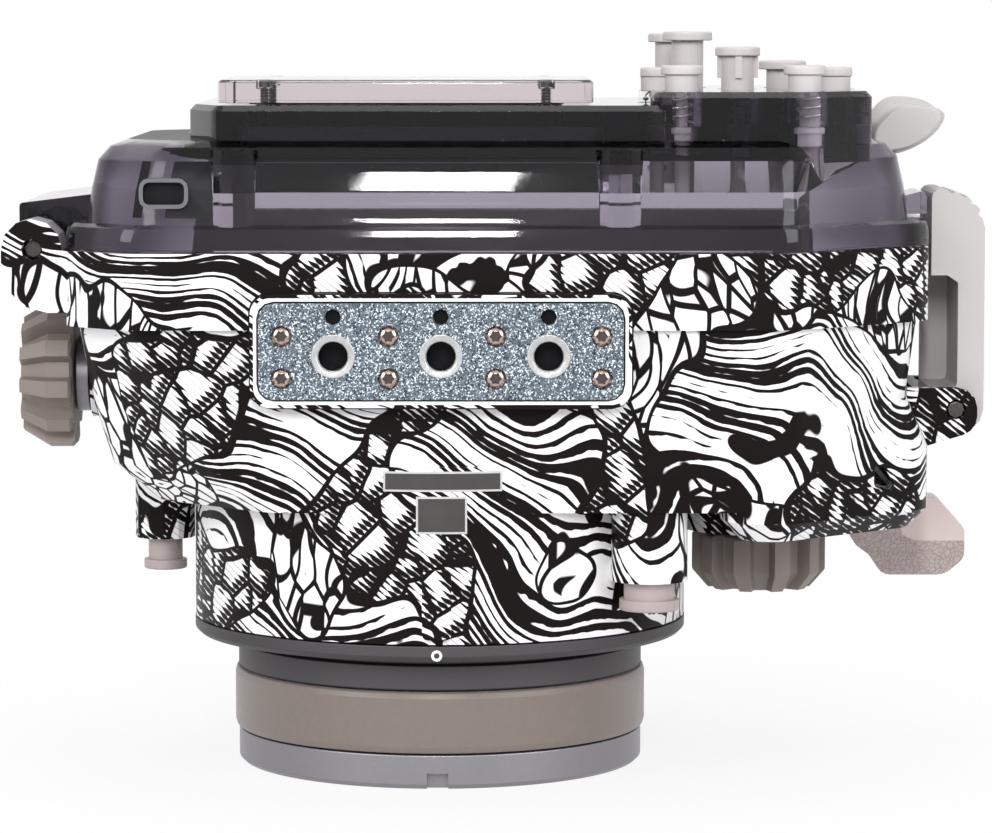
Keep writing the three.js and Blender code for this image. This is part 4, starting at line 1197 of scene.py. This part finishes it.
# The port's profiles, as corners of radius, height and rounding in millimetres
RING_PROFILE = [
    (31.5, 0.0, 0.3),
    (35.6, 0.0, 0.4),
    (36.35, 0.75, 0.4),
    (36.35, 6.0, 0.3),
    (33.2, 6.0),
    (33.2, 3.6),
    (29.0, 3.6),
    (29.0, 2.4),
    (31.5, 2.4),
]
BAND_PROFILE = [
    (34.3, 6.3),
    (36.7, 6.3, 0.5),
    (37.0, 7.4, 0.6),
    (37.0, 15.9, 0.6),
    (36.7, 17.0, 0.5),
    (34.3, 17.0),
]
BARREL_PROFILE = [
    (31.3, 3.9),
    (32.9, 3.9),
    (32.9, 6.3),
    (34.0, 6.3),
    (34.0, 17.3),
    (36.4, 17.3, 0.35),
    (36.4, 21.6, 0.3),
    (35.5, 21.9, 0.2),
    (35.5, 23.1),
    (31.0, 23.1),
    (31.0, 31.0),
    (28.0, 31.0),
    (28.0, 9.7),
    (31.3, 9.7),
]
FLANGE_PROFILE = [
    (31.3, 23.4),
    (43.3, 23.4, 0.6),
    (44.2, 24.3, 0.5),
    (44.2, 26.2, 0.15),
    (31.3, 26.2),
]
GLASS_PROFILE = [(30.2, 3.9, 0.2), (31.0, 4.7, 0.2), (31.0, 7.9, 0.2)]
GLASS_SEAL_PROFILE = [(29.0, 8.2, 0.3), (31.0, 8.2, 0.3), (31.0, 9.4, 0.3), (29.0, 9.4, 0.3)]
RING_RADIUS = RING_PROFILE[2][0]
FLANGE_RADIUS = FLANGE_PROFILE[2][0]
PORT_STEPS = 144

# Key notch in the front of the ring, and how far its cutter reaches past it, in millimetres
NOTCH_WIDTH = 3.7
NOTCH_HEIGHT = 2.8
NOTCH_DEPTH = 2.0
NOTCH_OVER = 1


class HOUSING_OT_port(bpy.types.Operator):
    """Lens port: ring, band, barrel, glass and flange"""

    bl_idname = "housing.port"
    bl_label = "Lens port"

    def execute(self, context):
        axis = upright(middle("port_flange"))
        shape = spun(RING_PROFILE, axis, PORT_STEPS)
        ring = new_piece("port_ring", shape, FRONT, ring_metal(), ["port_front_ring"])
        cut_notch(ring, axis)
        for name, profile, material, node, slot in (
            ("port_band", BAND_PROFILE, band_rubber(), "port_grip_band", "rubber_band"),
            ("port_tube", BARREL_PROFILE, collar_metal(), "port_barrel", "dark_metal"),
            ("port_plate", FLANGE_PROFILE, collar_metal(), "port_flange", "dark_metal"),
            ("port_seal", GLASS_SEAL_PROFILE, black_rubber(), "port_glass_seal", "black_rubber"),
        ):
            new_piece(name, spun(profile, axis, PORT_STEPS), FRONT, material, [node])
        glass = post(GLASS_PROFILE, axis, PORT_STEPS)
        new_piece("port_lens", glass, FRONT, port_glass(), ["port_glass"])
        add_index_ring(axis)
        return {"FINISHED"}


def cut_notch(ring, axis):
    """Cuts the key notch into the front of the ring."""
    corners = rectangle(-NOTCH_WIDTH / 2, NOTCH_WIDTH / 2, -NOTCH_OVER, NOTCH_HEIGHT)
    tool = slab(corners, -RING_RADIUS - NOTCH_OVER, -RING_RADIUS + NOTCH_DEPTH)
    bmesh.ops.translate(tool, vec=axis, verts=tool.verts)
    cut_away(ring, tool)


# Index mark in millimetres: height on the flange, profile of its ring, and its steps
INDEX_HEIGHT = 24.6
INDEX_PROFILE = [(0.5, -0.2), (0.95, -0.2), (0.95, 0.08), (0.5, 0.08)]
INDEX_STEPS = 32


def add_index_ring(axis):
    """White ring mark on the rim of the flange."""
    shape = spun(INDEX_PROFILE, ORIGIN, INDEX_STEPS)
    turned_to(shape, axis + Vector((0, -FLANGE_RADIUS, INDEX_HEIGHT)) * MM, (0, -1, 0))
    new_piece("index_ring", shape, FRONT, white_mark())


# Tripod plate in millimetres: edge, pitch and drop of its holes, and places of its screws
PLATE_EDGE = 0.3
PLATE_ANGLE = 40
TRIPOD_PITCH = 18.3
TRIPOD_DROP = -0.8
PLATE_SCREW_ACROSS = (-27.1, -8.9, 9.3, 27.3)
PLATE_SCREW_UP = (-4.6, 2.6)
PLATE_SCREW_SINK = 0.15
BUSH_PROFILE = [
    (2.45, -1.9),
    (2.65, -1.9),
    (2.65, 0.01),
    (3.72, 0.01),
    (3.62, 0.12, 0.05),
    (2.8, 0.05, 0.1),
    (2.45, -0.3, 0.1),
]
BUSH_STEPS = 48


class HOUSING_OT_tripod_plate(bpy.types.Operator):
    """Blasted tripod plate with its bushes and screws"""

    bl_idname = "housing.tripod_plate"
    bl_label = "Tripod plate"

    def execute(self, context):
        shape = eased(copied("tripod_plate"), PLATE_EDGE, PLATE_ANGLE)
        new_piece("plate_blasted", shape, FRONT, blasted_plate(), ["tripod_plate"])
        low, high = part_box("tripod_plate")
        face = low.y / MM
        centre = (low + high) / 2 / MM
        for i, step in enumerate((-1, 0, 1)):
            place = (centre.x + step * TRIPOD_PITCH, face, centre.z + TRIPOD_DROP)
            add_bush(f"tripod_bush_{i + 1}", place)
        seats = [(dx, dz) for dx in PLATE_SCREW_ACROSS for dz in PLATE_SCREW_UP]
        for i, (dx, dz) in enumerate(seats):
            place = (centre.x + dx, face + PLATE_SCREW_SINK, centre.z + dz)
            name = f"plate_screw_{i + 1}"
            add_screw(name, place, PLATE_SCREW, FRONT, screw_steel(), (0, -1, 0))
        return {"FINISHED"}


def add_bush(name, place):
    """Bright rim of a tripod thread, a hair proud of the plate."""
    shape = spun(BUSH_PROFILE, ORIGIN, BUSH_STEPS)
    turned_to(shape, Vector(place) * MM, (0, -1, 0))
    new_piece(name, shape, FRONT, bright_steel())


# Rear push buttons, the one with a cross rib, and sizes of cap, stem, shaft and rib in millimetres
BUTTONS = (
    "low_left",
    "low_right",
    "pad_centre",
    "pad_right",
    "pad_left",
    "pad_up",
    "tall_near",
    "tall_far",
)
RIBBED_BUTTON = "pad_centre"
CAP_HEIGHT = 1.6
STEM_RADIUS = 2.9
STEM_SINK = 0.3
SHAFT_RADIUS = 1.3
RIB_REACH_SHARE = 0.9
RIB_HALF = 0.6
RIB_FOOT = 2.3
RIB_OVER = 0.1
BUTTON_STEPS = 48

# Roundings of the push buttons in millimetres: shaft's tip, stem's foot, cap's back and rim
TIP_ROUNDING = 0.3
FOOT_ROUNDING = 0.2
BACK_ROUNDING = 0.25
RIM_ROUNDING = 0.45

# Glands under the rear buttons in millimetres: gap round the shaft, radii, height of the head,
# and roundings
GLAND_GAP = 0.3
GLAND_RADIUS = 2.1
GLAND_HEAD_RADIUS = 2.6
GLAND_HEAD_HEIGHT = 1.1
GLAND_ROUNDING = 0.15
GLAND_TOP_ROUNDING = 0.2
GLAND_STEPS = 32


class HOUSING_OT_rear_buttons(bpy.types.Operator):
    """Rear push buttons with their glands"""

    bl_idname = "housing.rear_buttons"
    bl_label = "Rear buttons"

    def execute(self, context):
        for name in BUTTONS:
            add_rear_button(name)
            add_gland(name)
        return {"FINISHED"}


def add_rear_button(name):
    low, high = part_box(f"button_{name}")
    top, tip = high.z / MM, low.z / MM
    stem_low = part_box("rear_door")[1].z / MM - STEM_SINK
    cap = (high.y - low.y) / 2 / MM
    axis = upright((low + high) / 2)
    profile = [
        (SHAFT_RADIUS, tip, TIP_ROUNDING),
        (SHAFT_RADIUS, stem_low),
        (STEM_RADIUS, stem_low, FOOT_ROUNDING),
        (STEM_RADIUS, top - CAP_HEIGHT, BACK_ROUNDING),
        (cap, top - CAP_HEIGHT, BACK_ROUNDING),
        (cap, top, RIM_ROUNDING),
    ]
    shape = post(profile, axis, BUTTON_STEPS)
    if name == RIBBED_BUTTON:
        ribs_under(shape, axis, cap * RIB_REACH_SHARE, stem_low, top - CAP_HEIGHT)
    new_piece(
        f"{name}_cap", shape, f"push_{name}", button_plastic(), [f"button_{name}"]
    )


def ribs_under(shape, axis, reach, low, high):
    """Adds two crossed ribs under a cap, from the stem out to the cap's rim."""
    for across, along in ((reach, RIB_HALF), (RIB_HALF, reach)):
        corners = rectangle(-across, across, -along, along)
        rib = slab(corners, low + RIB_FOOT, high + RIB_OVER, upwards=True)
        bmesh.ops.translate(rib, vec=axis, verts=rib.verts)
        mesh = mesh_of("rib", rib)
        shape.from_mesh(mesh)
        bpy.data.meshes.remove(mesh)


def add_gland(name):
    gland_low, gland_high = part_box(f"gland_{name}")
    base, head = gland_low.z / MM, gland_high.z / MM
    step = head - GLAND_HEAD_HEIGHT
    bore = SHAFT_RADIUS + GLAND_GAP
    profile = [
        (bore, base),
        (GLAND_RADIUS, base, GLAND_ROUNDING),
        (GLAND_RADIUS, step),
        (GLAND_HEAD_RADIUS, step, GLAND_ROUNDING),
        (GLAND_HEAD_RADIUS, head, GLAND_TOP_ROUNDING),
        (bore, head),
    ]
    shape = spun(profile, upright(middle(f"button_{name}")), GLAND_STEPS)
    new_piece(f"{name}_gland", shape, DOOR, white_bush(), [f"gland_{name}"])


# Front buttons in millimetres: radius of the stem, height of the cap, level where the stem ends
FRONT_BUTTONS = {
    "lens_release": {"stem": 4.4, "cap": 2.0, "end": 37.4},
    "flash_release": {"stem": 3.1, "cap": 1.8, "end": 40.2},
}
FRONT_SHAFT = 1.5
FRONT_ROUNDING = 0.5
FRONT_STEPS = 64


class HOUSING_OT_front_buttons(bpy.types.Operator):
    """Release buttons on the front, turned round with a soft rim"""

    bl_idname = "housing.front_buttons"
    bl_label = "Front buttons"

    def execute(self, context):
        for name, size in FRONT_BUTTONS.items():
            low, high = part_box(f"{name}_button")
            face, tip = low.z / MM, high.z / MM
            cap = (high.x - low.x) / 2 / MM
            back = face + size["cap"]
            profile = [
                (cap, face, FRONT_ROUNDING),
                (cap, back, BACK_ROUNDING),
                (size["stem"], back),
                (size["stem"], size["end"], FOOT_ROUNDING),
                (FRONT_SHAFT, size["end"]),
                (FRONT_SHAFT, tip, TIP_ROUNDING),
            ]
            shape = post(profile, upright((low + high) / 2), FRONT_STEPS)
            node = f"{name}_button"
            new_piece(f"{name}_cap", shape, name, warm_plastic(), [node])
        return {"FINISHED"}


# Knobs: body, axis (X, Y or Z by number), ribs, and how much deeper their valleys go in millimetres
KNOBS = {
    "zoom_knob": ("zoom", 0, 11, 0.9),
    "front_dial_knob": ("front_dial", 2, 10, 1.3),
    "mode_dial_knob": ("mode_dial", 1, 12, 0.9),
}
KNOB_EDGE = 0.3
RIB_SHARE = 0.23
CREST_SHARE = 0.985
VALLEY_SHARE = 0.6


def deepened(shape, axis, ribs, deeper):
    """Moves the floors of the valleys between a knob's ribs towards its axis, in millimetres."""
    points = [vert.co for vert in shape.verts]
    spans = [[point[i] for point in points] for i in range(3)]
    centre = Vector([(min(span) + max(span)) / 2 for span in spans])
    first, second = [(1, 2), (0, 2), (0, 1)][axis]
    reach = max(spans[first]) - centre[first]
    ways = [flat_part(point - centre, axis) for point in points]
    crests = [turn_of(way, first, second) for way in ways if way.length > reach * CREST_SHARE]
    start = mean_phase(crests, ribs)
    for vert, way in zip(shape.verts, ways):
        phase = (turn_of(way, first, second) - start) * ribs / FULL_TURN
        if way.length > reach * VALLEY_SHARE and abs(phase - round(phase)) > RIB_SHARE:
            vert.co -= way.normalized() * deeper * MM
    return shape


def flat_part(way, axis):
    """A direction without its part along an axis."""
    flat = way.copy()
    flat[axis] = 0
    return flat


def turn_of(way, first, second):
    return math.atan2(way[second], way[first])


def mean_phase(angles, count):
    """The angle of the middle of a repeated feature, from angles spread evenly round its copies."""
    across = sum(math.cos(angle * count) for angle in angles)
    up = sum(math.sin(angle * count) for angle in angles)
    return math.atan2(up, across) / count


# Thumb rest: corners of its outline across and up, in millimetres, and how its slices change
REST_OUTLINE = [
    (65.9, 113.0),
    (67.3, 114.8),
    (69.8, 118.4),
    (72.4, 119.9),
    (78.6, 119.4),
    (81.0, 117.6),
    (80.2, 113.4),
    (75.4, 109.6),
    (69.6, 107.9),
    (65.6, 109.4),
]
REST_SMOOTHING = 3
REST_CUT_SHARES = (0.25, 0.75)
REST_SLICES = 28
REST_END_SHARE = 0.72
REST_END_ROUNDNESS = 0.8
REST_DISH = 1.2
REST_NEAR_DROP = 1.6
REST_KEEP_SHARE = 0.3
REST_SHARP = 60


def smooth_loop(corners, passes):
    """A closed outline whose corners are cut again and again until it is round."""
    points = [Vector(corner) for corner in corners]
    for _ in range(passes):
        pairs = list(zip(points, [*points[1:], points[0]]))
        points = [near.lerp(far, share) for near, far in pairs for share in REST_CUT_SHARES]
    return points


def thumb_rest():
    """A dished rest for the thumb, lofted along its length with round ends."""
    low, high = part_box("thumb_rest")
    outline = smooth_loop(REST_OUTLINE, REST_SMOOTHING)
    centre = sum(outline, Vector((0, 0))) / len(outline)
    shape = bmesh.new()
    rings = []
    for i in range(REST_SLICES + 1):
        turn = math.pi * i / REST_SLICES
        side = -math.cos(turn)
        reach = REST_END_SHARE + (1 - REST_END_SHARE) * math.sin(turn) ** REST_END_ROUNDNESS
        along = low.y + (high.y - low.y) * (side + 1) / 2
        drop = REST_DISH * (1 - side * side) + REST_NEAR_DROP * (1 - side) / 2
        ring = []
        for point in outline:
            spot = centre + (point - centre) * reach
            rise = max(0, spot.y - centre.y) / (high.z / MM - centre.y)
            spot.y -= rise * drop * (1 - side * side * REST_KEEP_SHARE)
            ring.append(shape.verts.new((spot.x * MM, along, spot.y * MM)))
        rings.append(ring)
    for near, far in zip(rings, rings[1:]):
        for i in range(len(near)):
            shape.faces.new((near[i - 1], near[i], far[i], far[i - 1]))
    shape.faces.new(rings[0])
    shape.faces.new(rings[-1])
    return shape


# Parts that keep their CAD shape: body, finish, material slot and width of their eased edges
PLAIN_PARTS = {
    "latch_lever": ("latch", latch_plastic, "latch_plastic", 0.5),
    "shutter_lever": ("shutter", crackled_plastic, "knob_plastic", 0.5),
    "power_button": ("power", button_plastic, "button_plastic", 0.25),
    "zoom_gear": ("zoom", button_plastic, "button_plastic", 0.1),
    "zoom_gland": (FRONT, ring_metal, "dark_metal", 0.25),
    "front_dial_wheel": ("front_dial", black_rubber, "black_rubber", 0.3),
    "mode_dial_cup": ("mode_dial", black_rubber, "black_rubber", 0.25),
    "camera_tray": (FRONT, collar_metal, "dark_metal", 0.3),
    "accessory_shoe": (FRONT, collar_metal, "dark_metal", 0.25),
    "main_seal": (FRONT, black_rubber, "black_rubber", 0.3),
    "hinge_pin": (FRONT, dark_steel_and_drive_shade, "bright_steel", 0.2),
    "latch_pin": (FRONT, dark_steel_and_drive_shade, "bright_steel", 0.2),
}
PLAIN_ANGLE = 28


class HOUSING_OT_plain_parts(bpy.types.Operator):
    """Eases the edges of the moulded and turned parts and gives them their finish"""

    bl_idname = "housing.plain_parts"
    bl_label = "Knobs, levers and small parts"

    def execute(self, context):
        new_piece(
            "thumb_rest_finished",
            thumb_rest(),
            DOOR,
            latch_plastic(),
            ["thumb_rest"],
            sharp=REST_SHARP,
        )
        for node, (body, axis, ribs, deeper) in KNOBS.items():
            shape = eased(deepened(copied(node), axis, ribs, deeper), KNOB_EDGE)
            new_piece(f"{node}_finished", shape, body, knob_plastic(), [node])
        for node, (body, material, slot, width) in PLAIN_PARTS.items():
            shape = eased(copied(node), width, PLAIN_ANGLE)
            new_piece(f"{node}_finished", shape, body, material(), [node])
        return {"FINISHED"}


COIL_SHARP = 80


def button_springs():
    """Each push button's spring: its node, its joint, how far that presses, and its fixed end."""
    for joint in frame["record"]["behaviour"]["joints"]:
        for row in joint.get("deforming_nodes", ()):
            yield row["node"], joint["name"], max(joint["range_m"], key=abs), row["fixed_end_z_m"]


def add_spring(node, joint, travel, fixed_end):
    """A spring's coil as a piece that rides on its button's body."""
    low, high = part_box(node)
    body = FRONT if node.removesuffix("_spring") in FRONT_BUTTONS else DOOR
    shape = welded(node, COIL_WELD)
    piece = new_piece(
        f"{node}_coil", shape, body, bright_steel(), [node], sharp=COIL_SHARP
    )
    keep = 1 - abs(travel) / (high.z - low.z)
    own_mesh(piece)


class HOUSING_OT_springs(bpy.types.Operator):
    """Steel springs: a coil for each push button, and the shutter spring's steel finish"""

    bl_idname = "housing.springs"
    bl_label = "Springs"

    def execute(self, context):
        for spring in button_springs():
            add_spring(*spring)
        for slot in frame["nodes"]["shutter_spring"].material_slots:
            slot.material = bright_steel()
        return {"FINISHED"}


# Labels on the turret: left, right, low and high edges of each, in millimetres
LABELS = {"label_wide": (-20.2, 0.1, 52.85, 56.3), "label_tall": (-14.6, -5.9, 45.6, 52.0)}
LABEL_RIM = 0.35
LABEL_SINK = 0.1
RIM_PROUD = 0.1
FACE_PROUD = 0.16
LABEL_STEPS = 16


class HOUSING_OT_labels(bpy.types.Operator):
    """Two bare dark label plates with a silver rim on the turret"""

    bl_idname = "housing.labels"
    bl_label = "Label plates"

    def execute(self, context):
        for name, (left, right, low, high) in LABELS.items():
            wrapped(f"{name}_rim", (left, right, low, high), RIM_PROUD, label_rim())
            inner = (left + LABEL_RIM, right - LABEL_RIM, low + LABEL_RIM, high - LABEL_RIM)
            wrapped(f"{name}_face", inner, FACE_PROUD, label_face())
        return {"FINISHED"}


def wrapped(name, edges, proud, material):
    """A thin plate bent round the turret."""
    left, right, low, high = edges
    low_corner, high_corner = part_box("port_flange")
    centre = (low_corner + high_corner) / 2 / MM
    radius = (high_corner.x - low_corner.x) / 2 / MM
    start, end = (math.asin((x - centre.x) / radius) for x in (left, right))
    shape = bmesh.new()
    verts = []
    for r, z in rectangle(radius - LABEL_SINK, radius + proud, low, high):
        spot = Vector((centre.x + r * math.sin(start), centre.y - r * math.cos(start), z))
        verts.append(shape.verts.new(spot * MM))
    face = shape.faces.new(verts)
    axis = upright(centre) * MM
    swept(shape, [*verts, *face.edges, face], axis, end - start, LABEL_STEPS, False)
    new_piece(name, shape, FRONT, material)


OPERATORS = (
    HOUSING_OT_studio,
    HOUSING_OT_front_shell,
    HOUSING_OT_rear_door,
    HOUSING_OT_window,
    HOUSING_OT_port,
    HOUSING_OT_tripod_plate,
    HOUSING_OT_rear_buttons,
    HOUSING_OT_front_buttons,
    HOUSING_OT_plain_parts,
    HOUSING_OT_springs,
    HOUSING_OT_labels,
)


class HOUSING_PT_panel(bpy.types.Panel):
    """Lists the steps that dress the housing"""

    bl_idname = "HOUSING_PT_panel"
    bl_label = "Camera housing"
    bl_space_type = "VIEW_3D"
    bl_region_type = "UI"
    bl_category = "Housing"

    def draw(self, context):
        column = self.layout.column()
        for group in (context.scene.housing_sizes, context.scene.housing_colours):
            for title in group.__annotations__:
                column.prop(group, title)
        for operator in OPERATORS:
            column.operator(operator.bl_idname)


CLASSES = (HousingSizes, HousingColours, *OPERATORS, HOUSING_PT_panel)


def register():
    for item in CLASSES:
        bpy.utils.register_class(item)
    bpy.types.Scene.housing_sizes = bpy.props.PointerProperty(type=HousingSizes)
    bpy.types.Scene.housing_colours = bpy.props.PointerProperty(type=HousingColours)


def unregister():
    del bpy.types.Scene.housing_colours
    del bpy.types.Scene.housing_sizes
    for item in reversed(CLASSES):
        bpy.utils.unregister_class(item)


def main():
    register()
    for operator in OPERATORS:
        group, name = operator.bl_idname.split(".")
        getattr(getattr(bpy.ops, group), name)()


if __name__ == "__main__":
    main()
